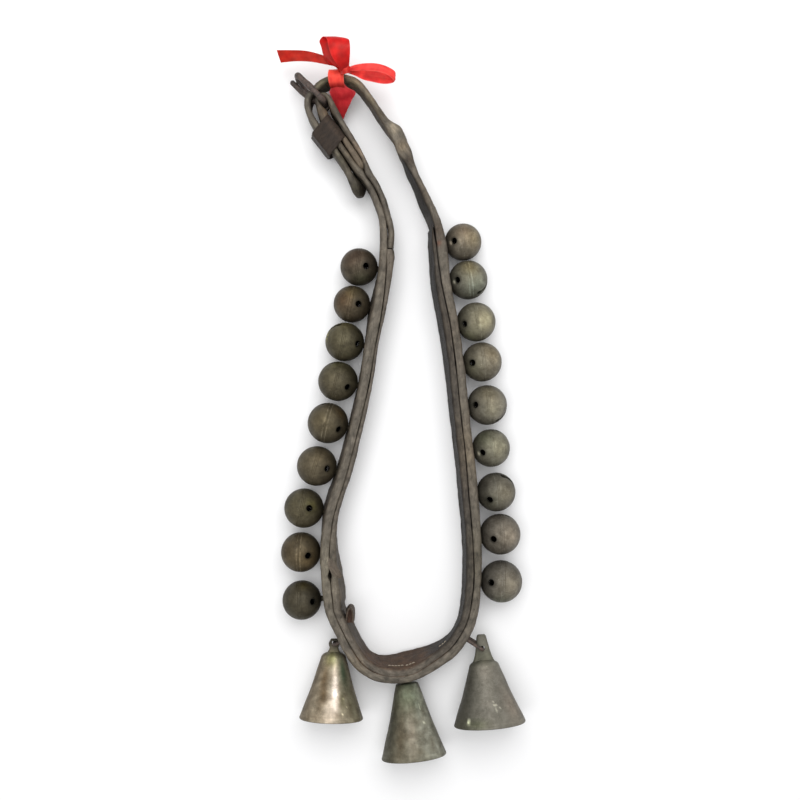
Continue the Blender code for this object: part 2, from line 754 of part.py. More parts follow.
def clapper_matrix(cone):
    pin = Vector((0, 0, -cone.crown - PIN_DEPTH)) * MM
    return cone_matrix(cone) @ Matrix.Translation(pin) @ clapper_turn(cone)


def clapper_turn(cone):
    """Tips the clapper from the bell's axis down to the lower wall."""
    lowered = cone_matrix(cone).to_3x3().inverted() @ -UP
    sign = 1 if lowered.y > 0 else -1
    return Matrix.Rotation(sign * clapper_rest(cone), 4, "X")


def pin_mesh(cone):
    at_pin, _ = flank(cone)
    half = at_pin + CONE_WALL - GAP
    return cylinder(PIN_RADIUS, (-half, 0, 0), (half, 0, 0), 8)


def pin_matrix(cone):
    return cone_matrix(cone) @ Matrix.Translation(Vector((0, 0, -cone.crown - PIN_DEPTH)) * MM)


def link_ends(cone):
    """The link's outer bar, the direction of its legs, and the strap station that they enter."""
    read = smooth(vectors(body_stretch()), 2.0)
    bar = Vector((cone.x, cone.y, 0))
    nearest = min(read, key=lambda s: (Vector((s[0], s[1], 0)) - bar).length)
    inward = (Vector((nearest[0], nearest[1], 0)) - bar).normalized()
    return bar, inward, nearest


def leg_reach(cone, height):
    """From the link's bar to the middle of the leaning outer layer at one height."""
    bar, _, station = link_ends(cone)
    lean = math.tan(math.radians(station[2])) * (height - station[5])
    return (Vector((station[0], station[1], 0)) - bar).length - lean


def link_leg_heights(cone):
    middle = hole_height(cone)
    low = max(middle - LINK_HIGH / 2, LINK_ROD + 1.0)
    return low, low + LINK_HIGH


def link_mesh(cone):
    """A wire staple through the bell's tab, its legs in the strap's outer layer."""
    bar, inward, _ = link_ends(cone)
    low, high = link_leg_heights(cone)
    past = BODY_THICK / 2 - GAP
    points = [bar + inward * (leg_reach(cone, low) + past) + UP * low]
    for height, sign in ((low, 1), (high, -1)):
        corner = []
        for turn in range(4):
            angle = math.radians(30 * turn)
            out = LINK_BEND * (1 - math.sin(angle))
            up = LINK_BEND * (1 - math.cos(angle)) * sign
            corner.append(bar + inward * out + UP * (height + up))
        points += corner if sign > 0 else list(reversed(corner))
    points.append(bar + inward * (leg_reach(cone, high) + past) + UP * high)
    return curve_mesh(points, LINK_ROD, 1, "link")


def link_holes(cone):
    bar, inward, _ = link_ends(cone)
    for height in link_leg_heights(cone):
        middle = leg_reach(cone, height)
        near = bar + inward * (middle - BODY_THICK) + UP * height
        far = bar + inward * (middle + BODY_THICK) + UP * height
        yield "DIFFERENCE", cylinder(LINK_HOLE_RADIUS, near, far, 8)


def shank_holes():
    for bell in (*LEFT_BELLS, *RIGHT_BELLS):
        centre = Vector((bell.x, bell.y, bell.diameter / 2))
        run = heading(bell.heading)
        near = centre + run * (bell.diameter / 2 + bell.slack - 1.0)
        far = near + run * (BODY_THICK + 4.2)
        yield "DIFFERENCE", cylinder(SHANK_HOLE_RADIUS, near, far, 6)


def buckle_axis():
    return Vector((*BUCKLE_BAR, BUCKLE_Z))


def tongue_slots():
    """Slots for the tongue: through the fold round the bar, and through the billet."""
    half = TONGUE_SLOT_HIGH / 2
    for low, high in TONGUE_SLOTS:
        slot = box((*low, -half), (*high, half))
        slot.transform(Matrix.Rotation(math.radians(FRAME_HEADING), 4, "Z"))
        slot.transform(Matrix.Translation(buckle_axis() * MM))
        yield "DIFFERENCE", slot


def frame_mesh():
    """The buckle's frame: a rounded rectangle of rod standing on edge, its bar on the origin."""
    long, high, bend = FRAME_LONG, FRAME_HIGH / 2, FRAME_CORNER
    points = []
    corners = ((long - bend, high - bend, 0), (bend, high - bend, 90),
               (bend, bend - high, 180), (long - bend, bend - high, 270))
    for x, z, start in corners:
        for turn in range(4):
            angle = math.radians(start + 30 * turn)
            points.append((x + bend * math.cos(angle), 0, z + bend * math.sin(angle)))
    return ring_tube(points, FRAME_ROD, 8)


def ring_tube(points, radius, sides):
    """A tube along a closed loop of points in the XZ plane, in millimetres."""
    bm = bmesh.new()
    rows = []
    count = len(points)
    for i, point in enumerate(points):
        before, after = Vector(points[i - 1]), Vector(points[(i + 1) % count])
        run = (after - before).normalized()
        across = Vector((0, 1, 0))
        out = run.cross(across)
        row = []
        for k in range(sides):
            angle = 2 * math.pi * k / sides
            offset = across * math.cos(angle) + out * math.sin(angle)
            row.append(bm.verts.new(Vector(point) + offset * radius))
        rows.append(row)
    for i, row in enumerate(rows):
        after = rows[(i + 1) % count]
        for k in range(sides):
            j = (k + 1) % sides
            bm.faces.new((row[k], row[j], after[j], after[k]))
    return mesh_from(bm, "frame")


def frame_matrix():
    turn = Matrix.Rotation(math.radians(FRAME_HEADING), 4, "Z")
    return Matrix.Translation(buckle_axis() * MM + ORIGIN) @ turn


def tongue_mesh(cutters):
    """A ring round the bar at the origin and a rod that passes the frame's far bar on one side."""
    half = TONGUE_RING_HIGH / 2
    ring = cylinder(TONGUE_RING, (0, 0, -half), (0, 0, half), 14)
    route = [(3.6, 1.6, 0), (9.0, 3.4, 0), (18.0, TONGUE_SIDE, 0), (TONGUE_REACH, TONGUE_SIDE, 0)]
    rod = curve_mesh(route, TONGUE_ROD, 1, "tongue_rod")
    bore = cylinder(FRAME_ROD + GAP, (0, 0, -9), (0, 0, 9), 12)
    return carve(ring, [("UNION", rod), ("DIFFERENCE", bore)], cutters)


def keeper_mesh(cutters):
    """The box loop with its tail, drawn where it stands."""
    wall = KEEPER_WALL
    outer = box((-KEEPER_LONG / 2, -KEEPER_ACROSS / 2, -KEEPER_HIGH / 2),
                (KEEPER_LONG / 2, KEEPER_ACROSS / 2, KEEPER_HIGH / 2))
    soften(outer, 2.2)
    inner = box((-KEEPER_LONG, wall - KEEPER_ACROSS / 2, wall - KEEPER_HIGH / 2),
                (KEEPER_LONG, KEEPER_ACROSS / 2 - wall, KEEPER_HIGH / 2 - wall))
    loop = carve(outer, [("DIFFERENCE", inner)], cutters)
    at = Matrix.Translation(Vector((*KEEPER_AT, BUCKLE_Z)) * MM)
    loop.transform(at @ Matrix.Rotation(math.radians(KEEPER_HEADING), 4, "Z"))
    thick, high = KEEPER_TAIL_SIZE
    tail = [(x, y, 0.0, thick, high, BUCKLE_Z) for x, y in KEEPER_TAIL]
    read = smooth(vectors(tail), SECTION_STEP)
    rings = []
    for s, (middle, across, upright) in zip(read, frames_along(read)):
        rings.append([middle + across * a + upright * b for a, b in rounded_section(s[3], s[4])])
    return carve(loop, [("UNION", loft(rings, "tail"))], cutters)


def soften(mesh, width):
    """Chamfers a box's long edges that run along X."""
    bm = bmesh.new()
    bm.from_mesh(mesh)
    long_edges = [e for e in bm.edges if abs(e.verts[0].co.x - e.verts[1].co.x) > 0.001]
    bmesh.ops.bevel(
        bm, geom=long_edges, offset=width * MM, segments=2, profile=0.5, affect="EDGES"
    )
    bm.to_mesh(mesh)
    bm.free()


def band_mesh(stations, name):
    """A thin band through stations of (middle, half width vector)."""
    flat = [Vector((*middle, *half)) for middle, half in stations]
    read = smooth(flat, 6.0)
    rings = []
    for i, s in enumerate(read):
        before, after = read[max(i - 1, 0)], read[min(i + 1, len(read) - 1)]
        run = Vector(after[:3]) - Vector(before[:3])
        half = Vector(s[3:])
        face = run.cross(half).normalized() * RIBBON_THICK / 2
        middle = Vector(s[:3])
        rings.append([middle + half + face, middle - half + face,
                      middle - half - face, middle + half - face])
    return loft(rings, name)


def knot_mesh(cutters):
    """The ribbon's wrap round the billet with a flat knot on top, drawn where it stands."""
    wide = BILLET_THICK / 2 + KNOT_GAP + RIBBON_THICK + KNOT_ROOM
    high = BILLET_HIGH / 2 + KNOT_GAP + RIBBON_THICK
    outer = box((-KNOT_LONG / 2, -wide, -high), (KNOT_LONG / 2, wide, high))
    soften(outer, 1.0)
    room = (BILLET_THICK / 2 + KNOT_GAP + KNOT_ROOM, BILLET_HIGH / 2 + KNOT_GAP)
    inner = box((-KNOT_LONG, -room[0], -room[1]), (KNOT_LONG, room[0], room[1]))
    knob = box((-9.0, -6.8, high - 0.5), (-1.5, 1.8, high + 4.2))
    wrap = carve(outer, [("DIFFERENCE", inner), ("UNION", knob)], cutters)
    at = Matrix.Translation(Vector((*KNOT_AT, BUCKLE_Z)) * MM)
    wrap.transform(at @ Matrix.Rotation(math.radians(KNOT_HEADING), 4, "Z"))
    return wrap


def build_straps(home, cutters, leather, dark_leather, iron):
    here = Matrix.Translation(ORIGIN)
    holes = [*shank_holes(), *tongue_slots()]
    for cone in CONES:
        holes += link_holes(cone)
    outer = carve(outer_strap_mesh(), holes, cutters)
    place("outer_strap", outer, home, leather, here)
    place("liner_strap", liner_mesh(NOMINAL_RADIUS), home, dark_leather, here)
    for name, bells in (("left", LEFT_BELLS), ("right", RIGHT_BELLS)):
        mesh = wire_mesh(bells, "shank_wire_" + name)
        place("shank_wire_" + name, mesh, home, iron, here)


def build_crotals(home, cutters, bronze, iron):
    for side, bells in (("left", LEFT_BELLS), ("right", RIGHT_BELLS)):
        for number, bell in enumerate(bells, 1):
            name = f"crotal_{side}_{number}"
            shell = place(name, crotal_mesh(bell, cutters), home, bronze, crotal_matrix(bell))
            pellet_name = f"pellet_{side}_{number}"
            pellet = place(pellet_name, pellet_mesh(bell), home, iron, crotal_matrix(bell, False))
            pellet.parent = shell
            pellet.matrix_parent_inverse = shell.matrix_world.inverted()


def build_cones(home, cutters, bronze, iron):
    here = Matrix.Translation(ORIGIN)
    for cone in CONES:
        mesh = cone_bell_mesh(cone, cutters)
        shell = place("cone_bell_" + cone.name, mesh, home, bronze, cone_matrix(cone))
        pin = place("clapper_pin_" + cone.name, pin_mesh(cone), home, iron, pin_matrix(cone))
        mesh = clapper_mesh(cutters)
        clapper = place("clapper_" + cone.name, mesh, home, iron, clapper_matrix(cone))
        for thing in (pin, clapper):
            thing.parent = shell
            thing.matrix_parent_inverse = shell.matrix_world.inverted()
        place("link_" + cone.name, link_mesh(cone), home, iron, here)


def build_buckle(home, cutters, iron, leather):
    frame = place("buckle_frame", frame_mesh(), home, iron, frame_matrix())
    tongue = place("buckle_tongue", tongue_mesh(cutters), home, iron, frame_matrix())
    tongue.parent = frame
    tongue.matrix_parent_inverse = frame.matrix_world.inverted()
    place("keeper_loop", keeper_mesh(cutters), home, leather, Matrix.Translation(ORIGIN))


def build_ribbon(home, cutters, satin):
    here = Matrix.Translation(ORIGIN)
    bands = (
        ("ribbon_left_tail", RIBBON_LEFT_TAIL),
        ("ribbon_upper_loop", RIBBON_UPPER_LOOP),
        ("ribbon_right_loop", RIBBON_RIGHT_LOOP),
        ("ribbon_lower_tail", RIBBON_LOWER_TAIL),
    )
    for name, stations in bands:
        place(name, band_mesh(stations, name), home, satin, here)
    place("ribbon_knot", knot_mesh(cutters), home, satin, here)


def main():
    for thing in list(bpy.data.objects):
        bpy.data.objects.remove(thing)
    home = collection("sleigh_bells")
    cutters = collection("cutters")
    leather = material("old_leather", (0.15, 0.12, 0.09), 0.75, 0.0)
    dark_leather = material("dark_leather", (0.09, 0.07, 0.055), 0.8, 0.0)
    bronze = material("patinated_bronze", (0.17, 0.16, 0.11), 0.5, 0.85)
    iron = material("old_iron", (0.09, 0.075, 0.065), 0.6, 0.9)
    satin = material("red_satin", (0.72, 0.03, 0.025), 0.35, 0.0)
    build_straps(home, cutters, leather, dark_leather, iron)
    build_crotals(home, cutters, bronze, iron)
    build_cones(home, cutters, bronze, iron)
    build_buckle(home, cutters, iron, leather)
    build_ribbon(home, cutters, satin)


main()
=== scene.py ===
"""Looks for the neck strap of sleigh bells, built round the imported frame.

Lengths are in millimetres until a mesh is made. Every piece is drawn where it stands at rest.
"""

import math
from collections import namedtuple

import bmesh
import bpy
import numpy as np
from mathutils import Matrix, Vector, noise


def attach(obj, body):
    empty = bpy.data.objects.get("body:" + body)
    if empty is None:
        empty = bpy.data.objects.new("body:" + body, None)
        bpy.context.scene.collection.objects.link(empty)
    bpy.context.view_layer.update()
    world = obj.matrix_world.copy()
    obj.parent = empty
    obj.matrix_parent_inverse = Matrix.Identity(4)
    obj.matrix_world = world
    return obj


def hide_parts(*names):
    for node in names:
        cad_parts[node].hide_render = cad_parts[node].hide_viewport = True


MM = 0.001
UP = Vector((0, 0, 1))
# The object's own centre on the table, as in the solid parts.
SHIFT = Vector((-0.7, 3.4, 0.0))

BODY_THICK = 6.5
BODY_HIGH = 31.0
LINER_HIGH = 30.4
LINER_THICK = 5.2
LAYER_GAP = 0.95
CHAPE_THICK = 4.2
BILLET_THICK = 5.2
BILLET_HIGH = 23.0
BUCKLE_Z = 17.8
NOMINAL_RADIUS = 16.0
FOLD_THICK = 4.8
# The liner's height in the solid parts, which says how high a leaning strap has to stand.
LINER_BODY = 29.5
CROTAL_WALL = 2.0
BELL_GAP = 0.6
SHANK_RADIUS = 2.1
EYE_DEPTH = 1.6
SOUND_HOLE = 2.65
EYE_HOLE = 1.3
TAB_HOLE = 2.0
PELLET_RADIUS = 4.6
WIRE_RADIUS = 0.6
STAPLE_RADIUS = 1.35
PIN_RADIUS = 1.3
THREAD_RADIUS = 0.34
TONGUE_RADIUS = 2.25
# The throat: half width of the slit, radius of its end holes, and their angle from the pole.
THROAT_HALF = 1.5
THROAT_HOLE = 2.4
THROAT_REACH = 65.0
# Scribed lines round a bell, measured from its middle towards the strap.
SCRIBE_PLACES = (-1.9, -0.5, 0.9)
# Camera in metres and in millimetres of lens; lights in watts.
CAMERA_HEIGHT = 0.78
SENSOR_WIDTH = 36.0
FOCAL_LENGTH = 41.926829
SKY_STRENGTH = 0.60
KEY_WATTS = 8.4
FILL_WATTS = 6.0

# x, y: centre; diameter; heading of the shank; hole: how far sound holes sit towards the shank;
# roll about the shank; slit: extra roll of the throat; slack: spare shank between bell and strap.
Bell = namedtuple("Bell", "x y diameter heading hole roll slit slack", defaults=(0.0,))
LEFT_BELLS = (
    Bell(-33.6, 109.1, 30.6, -7, 25, 1, 0),
    Bell(-39.4, 78.7, 30.2, -10.7, 24, 0, 0),
    Bell(-45.3, 47.6, 31.8, -10.2, 46, 1, 27),
    Bell(-50.8, 15.3, 32.4, -11.7, 36, 14, 0),
    Bell(-59, -18.9, 33.2, -13.9, 40, 11, 2),
    Bell(-68.1, -54.1, 32.6, -15.8, 36, -6, 0),
    Bell(-78.7, -88.6, 32.2, -10.5, 20, -10, 0),
    Bell(-81.2, -124.6, 32.4, -1.3, 27, 2, 0),
    Bell(-80.4, -164, 31.8, 4.6, 40, -2, 0, 3.6),
)
RIGHT_BELLS = (
    Bell(51.7, 129.6, 30.2, 187.5, 33, 0, 0),
    Bell(55.8, 98.4, 31.8, 189.2, 38, 0, 29),
    Bell(62.3, 64, 32, 189.6, 42, -4, 0),
    Bell(67.2, 31.2, 32.2, 187.5, 34, 0, 0),
    Bell(71.3, -4.1, 32.6, 186, 40, 6, 19),
    Bell(74.6, -39.4, 31, 185.9, 33, -10, 0),
    Bell(78.7, -75.4, 31.8, 186, 26, -18, -8),
    Bell(82, -109.9, 33.2, 183.2, 25, -6, 0),
    Bell(82.8, -148.4, 34.2, 179, 34, 6, 0),
)
LEFT_LEANS = (-3, -8, -3, -5, -7, -8, -8, 0, 6)
RIGHT_LEANS = (5, 6, 6, 5, 4, 4, 4, 3, 2)
# How thick the outer layer and both layers together look beside each bell.
LEFT_DEPTHS = (
    (6, 11.6), (7.9, 11.2), (8.4, 10.8), (7.6, 10.8), (6.7, 10.6), (6.7, 10.6), (7, 11),
    (7.3, 13.2), (7.7, 14.2),
)
RIGHT_DEPTHS = (
    (8.4, 11.8), (7.8, 12.6), (7, 13), (7, 13), (7, 13.1), (7.1, 13.1), (7.8, 13.3), (7, 12.9),
    (6.2, 13),
)
BOTTOM_DEPTH = (6.9, 12.9)

FOLD_BACK = (
    (-8, 125.2), (-7.2, 136.6), (-10, 149), (-15.2, 166), (-26.2, 186.2), (-36.2, 206),
    (-45.6, 221.6), (-53.4, 235.6),
)
BUCKLE_BAR = (-61.9, 241.3)
FOLD_ANGLES = (30.0, 75.0, 120.0, 165.0, 205.0)
FOLD_REACH = 5.0
CHAPE = (
    (-63.2, 229), (-56.2, 217), (-47.1, 203.6), (-35, 186.2), (-28.8, 178.6), (-24.2, 172.4),
    (-19.4, 162.3), (-14.9, 149.1), (-13.4, 134.7),
)
BOTTOM = (
    (-55.9, -171.6, 3), (-48.4, -188.4, 3), (-40.2, -204.3, 2), (-32.1, -215.2, 1),
    (-20.5, -222, 3), (-6.2, -223.2, 9), (7.4, -220.9, 14), (18, -217.6, 9), (29.3, -212.7, 2),
    (43.4, -203.9, -3), (53, -191.6, -4), (58.6, -176.8, 0),
)
# x, y, then lean and thickness where they are not 0 and BILLET_THICK.
BILLET = (
    (28.4, 145.2, 4, 6.4), (21, 164, 2, 5.4), (11.2, 185.7), (4.9, 202.4, -7, 8.2),
    (-2.6, 214.2, -7, 8.2), (-12.6, 226.5, 0, 5.6), (-24.7, 244.6), (-34.2, 256.4), (-42, 259.8),
    (-50, 260.6), (-58, 259), (-64.6, 255.2), (-70, 249.8), (-74, 244.6), (-74.8, 238.4),
    (-72.6, 230.5), (-67.8, 222), (-62, 213.2), (-53.9, 203.2), (-46.6, 192.6, 2, 5.2),
    (-40.2, 182.6, 8, 5.2), (-35.9, 174.6, 16, 5), (-34, 169.4, 19, 4.6), (-33, 165.8, 20, 4),
)
TIP_HEIGHTS = (22.0, 18.0, 8.0)
LINER_TOP_LEFT = (-13.9, 121.5, 0.0)
LINER_TOP_RIGHT = (29.6, 141.0, 4.0)

# x, y: hanging hole; heading of the mouth; pitch of the axis; how far the crown and the mouth lie
# from the hole; mouth and shoulder radius; tab half width at crown and tip; hole to tab end.
Cone = namedtuple(
    "Cone", "name x y heading pitch crown mouth radius shoulder tab_wide tab_tip tab_end"
)
CONES = (
    Cone("left", -54, -199.5, 268.3, 10, 6.5, 59.5, 25.7, 10.6, 5, 3.6, 3.6),
    Cone("middle", 5.4, -229.6, 275.8, 11, 4, 60.5, 26.2, 11.4, 4.4, 3.6, 3.2),
    Cone("right", 67.4, -203, 275, 10.5, 9, 59.5, 28.8, 12.6, 7.4, 3.6, 11),
)
CONE_WALL = 2.0
GAP = 0.3
PIN_DEPTH = 9.0
CLAPPER_LONG = 37.0
CLAPPER_BALL = 6.2


# ---------------------------------------------------------------- vectors and splines


def heading(degrees):
    turn = math.radians(degrees)
    return Vector((math.cos(turn), math.sin(turn), 0))


def blend(a, b, low, high, at):
    """The mix of two values whose places are low and high, at a place."""
    return a * ((high - at) / (high - low)) + b * ((at - low) / (high - low))


def smooth(stations, step):
    """Stations read at about every step along a centripetal spline through all of them."""
    points = np.array(stations, float)
    ends = np.vstack([2 * points[0] - points[1], points, 2 * points[-1] - points[-2]])
    read = []
    for i in range(len(points) - 1):
        four = ends[i : i + 4]
        knots = [0.0]
        for a, b in zip(four, four[1:]):
            knots.append(knots[-1] + math.sqrt(np.linalg.norm((b - a)[:3])))
        t0, t1, t2, t3 = knots
        pieces = max(1, round(np.linalg.norm((four[2] - four[1])[:3]) / step))
        for k in range(pieces):
            t = t1 + (t2 - t1) * k / pieces
            a, b, c = (blend(four[j], four[j + 1], knots[j], knots[j + 1], t) for j in range(3))
            read.append(blend(blend(a, b, t0, t2, t), blend(b, c, t1, t3, t), t1, t2, t))
    read.append(points[-1])
    return np.array(read)


def wobble(points, scale, seed):
    """Smooth noise from -1 to 1 for every point of an array, at a scale in millimetres."""
    shift = Vector((seed * 17.3, seed * 5.1, seed * 9.7))
    return np.array([noise.noise(Vector(p) / scale + shift) for p in points])


# ---------------------------------------------------------------- meshes


def run_length(points):
    """How far along a line each of its points is."""
    return np.concatenate([[0], np.cumsum(lengths(np.diff(points, axis=0)))])


def lengths(vectors):
    return np.linalg.norm(vectors, axis=-1)


def unit(vectors):
    return vectors / lengths(vectors)[..., None]


def uneven(points, *layers):
    """A column of numbers round 1, from (depth, scale, seed) layers of noise."""
    return (1 + sum(depth * wobble(points, scale, seed) for depth, scale, seed in layers))[:, None]


def rise(values, start, width):
    """From 0 at the start to 1 a width further on, which may lie the other way."""
    return np.clip((values - start) / width, 0, 1)


def turn_about(axis, degrees):
    return Matrix.Rotation(math.radians(degrees), 4, axis)


def shift_by(x, y, z):
    return Matrix.Translation(Vector((x, y, z)))


def near(gap, size):
    """A column of shares: 1 where the gap is nothing, fading out over about the size."""
    return np.exp(-((gap / size) ** 2))[:, None]


def tinted(tint, share, colour):
    """A tint taken towards its product with a colour by each point's share."""
    return tint * (1 + share * (np.array(colour) - 1))


def linked(name, data):
    """A new object in the scene."""
    made = bpy.data.objects.new(name, data)
    bpy.context.scene.collection.objects.link(made)
    return made


def new_mesh(name, points, faces):
    """A mesh in metres from millimetre points."""
    mesh = bpy.data.meshes.new(name)
    mesh.from_pydata((np.array(points, float) * MM).tolist(), [], faces)
    mesh.update()
    return mesh


def finished(mesh, finish, smooth_angle):
    """One finish, and smooth shading except across edges sharper than the angle."""
    mesh.materials.clear()
    mesh.materials.append(finish)
    mesh.shade_smooth()
    mesh.set_sharp_from_angle(angle=math.radians(smooth_angle))


def face_out(mesh):
    bm = bmesh.new()
    bm.from_mesh(mesh)
    bmesh.ops.recalc_face_normals(bm, faces=bm.faces)
    bm.to_mesh(mesh)
    bm.free()


def uncut(name, shapes):
    """Several (points, faces) shapes as one object at the origin, to be cut or to cut with."""
    return linked(name, new_mesh(name, *merged(shapes)))


def stand(made, local, matrix, finish, smooth_angle, lowest):
    """Moves a cut object's own points to where it stands, none of them under the table."""
    points, _ = moved((local, None), matrix)
    points[:, 2] = np.maximum(points[:, 2], lowest)
    world = (points + np.array(SHIFT)) * MM
    made.data.vertices.foreach_set("co", world.astype(np.float32).ravel())
    made.data.update()
    finished(made.data, finish, smooth_angle)
    return points


# Attribute type and foreach_set key for so many numbers per point.
LAYER_KINDS = {
    1: ("FLOAT", "value"), 3: ("FLOAT_VECTOR", "vector"), 4: ("FLOAT_COLOR", "color"),
}


def paint(made, tint, **layers):
    """Per-point numbers and vectors that a material reads, and the tint it multiplies with."""
    layers["tint"] = np.hstack([tint, np.ones((len(tint), 1))])
    for name, values in layers.items():
        values = np.array(values, np.float32)
        kind, key = LAYER_KINDS[values.size // len(values)]
        layer = made.data.attributes.new(name, kind, "POINT")
        layer.data.foreach_set(key, values.ravel())


def ring_faces(rows, around):
    """Quads between rows of a grid whose closed rows hold around points each."""
    faces = []
    for low in range(0, (rows - 1) * around, around):
        for j in range(around):
            k = (j + 1) % around
            faces.append((low + j, low + k, low + around + k, low + around + j))
    return faces


def closed_grid(rings):
    """Points and faces of a tube through rings, with a fan at each end."""
    rows, around, _ = rings.shape
    faces = ring_faces(rows, around)
    first, last = rows * around, (rows - 1) * around
    for j in range(around):
        k = (j + 1) % around
        faces += [(j, k, first), (last + k, last + j, first + 1)]
    return capped(rings), faces


def capped(rings):
    """A grid's points, then the middle of its first and of its last row."""
    return np.vstack([rings.reshape(-1, 3), rings[0].mean(0), rings[-1].mean(0)])


def circle(around, radius=1.0):
    """Evenly spaced (x, y) points round a circle."""
    turns = [2 * math.pi * k / around for k in range(around)]
    return [(radius * math.cos(turn), radius * math.sin(turn)) for turn in turns]


def lathe(profile, around):
    """A closed shape turned about X from (along, out) points that start and end on the axis."""
    (start, _), *body, (end, _) = profile
    points = [(start, 0.0, 0.0)]
    for along, out in body:
        points += [(along, out * c, out * s) for c, s in circle(around)]
    points.append((end, 0.0, 0.0))
    pairs = [(k, (k + 1) % around) for k in range(around)]
    faces = [(0, 1 + j, 1 + k) for k, j in pairs]
    top = 1 + len(body) * around
    for a in range(1, top - around, around):
        faces += [(a + k, a + j, a + around + j, a + around + k) for k, j in pairs]
    faces += [(top - around + k, top - around + j, top) for k, j in pairs]
    return points, faces


def tube_rings(path, radius, around=16, rough=0.0, seed=0):
    """Rings of a rod along a path; the radius may be one number or one for each point."""
    path = np.array(path, float)
    radii = np.broadcast_to(np.array(radius, float), (len(path),))[:, None, None]
    run = unit(np.gradient(path, axis=0))
    side = unit(np.cross(run, np.array([0.13, 0.21, 0.97])))
    other = np.cross(run, side)
    angle = np.linspace(0, 2 * math.pi, around, endpoint=False)[None, :, None]
    rings = path[:, None] + radii * (np.cos(angle) * side[:, None] + np.sin(angle) * other[:, None])
    if rough:
        push = wobble(rings.reshape(-1, 3), 2.6, seed).reshape(len(path), around) * rough
        rings += push[..., None] * (rings - path[:, None]) / radii
    return rings


def rounded_rod(path, radius, **details):
    """A rod whose two ends are rounded off."""
    path = np.array(path, float)
    first, last = unit(path[1] - path[0]), unit(path[-1] - path[-2])
    turns = np.radians([0, 25, 50, 70, 84])
    head = [path[0] - first * radius * math.cos(t) for t in turns]
    tail = [path[-1] + last * radius * math.cos(t) for t in turns[::-1]]
    radii = [radius * math.sin(t) + 0.02 for t in turns]
    full = np.vstack([head, path, tail])
    sizes = np.concatenate([radii, np.full(len(path), radius), radii[::-1]])
    return closed_grid(tube_rings(full, sizes, **details))


def boolean(thing, shape, operation):
    """Cuts or adds a shape to an object, for good."""
    change = thing.modifiers.new("change", "BOOLEAN")
    change.operation = operation
    change.object = shape
    change.solver = "EXACT"
    bpy.context.view_layer.update()
    graph = bpy.context.evaluated_depsgraph_get()
    done = bpy.data.meshes.new_from_object(thing.evaluated_get(graph))
    thing.modifiers.clear()
    thing.data = done
    bpy.data.objects.remove(shape)


def merged(shapes):
    """Several (points, faces) shapes as one."""
    points, faces = [], []
    for some_points, some_faces in shapes:
        faces += [tuple(i + len(points) for i in f) for f in some_faces]
        points += [tuple(p) for p in np.array(some_points)]
    return points, faces


def joined(name, shapes, finish, smooth_angle=50.0):
    """Several (points, faces) shapes as one object, standing where they are drawn."""
    points, faces = merged(shapes)
    made = linked(name, new_mesh(name, np.array(points) + np.array(SHIFT), faces))
    face_out(made.data)
    finished(made.data, finish, smooth_angle)
    return made


def rod_shape(radius, start, end, around=24):
    """Points and faces of a plain closed cylinder."""
    return closed_grid(tube_rings([start, end], radius, around))


def box_shape(low, high):
    (x0, y0, z0), (x1, y1, z1) = low, high
    corners = [(x, y, z) for x in (x0, x1) for y in (y0, y1) for z in (z0, z1)]
    faces = [(0, 1, 3, 2), (4, 6, 7, 5), (0, 4, 5, 1), (2, 3, 7, 6), (0, 2, 6, 4), (1, 5, 7, 3)]
    return corners, faces


def moved(shape, matrix):
    """A (points, faces) shape after a millimetre matrix."""
    points, faces = shape
    turn = np.array(matrix.to_3x3())
    return np.array(points) @ turn.T + np.array(matrix.translation), faces


# ---------------------------------------------------------------- materials


def scaled(colour, share):
    return tuple(min(1.0, c * share) for c in colour)


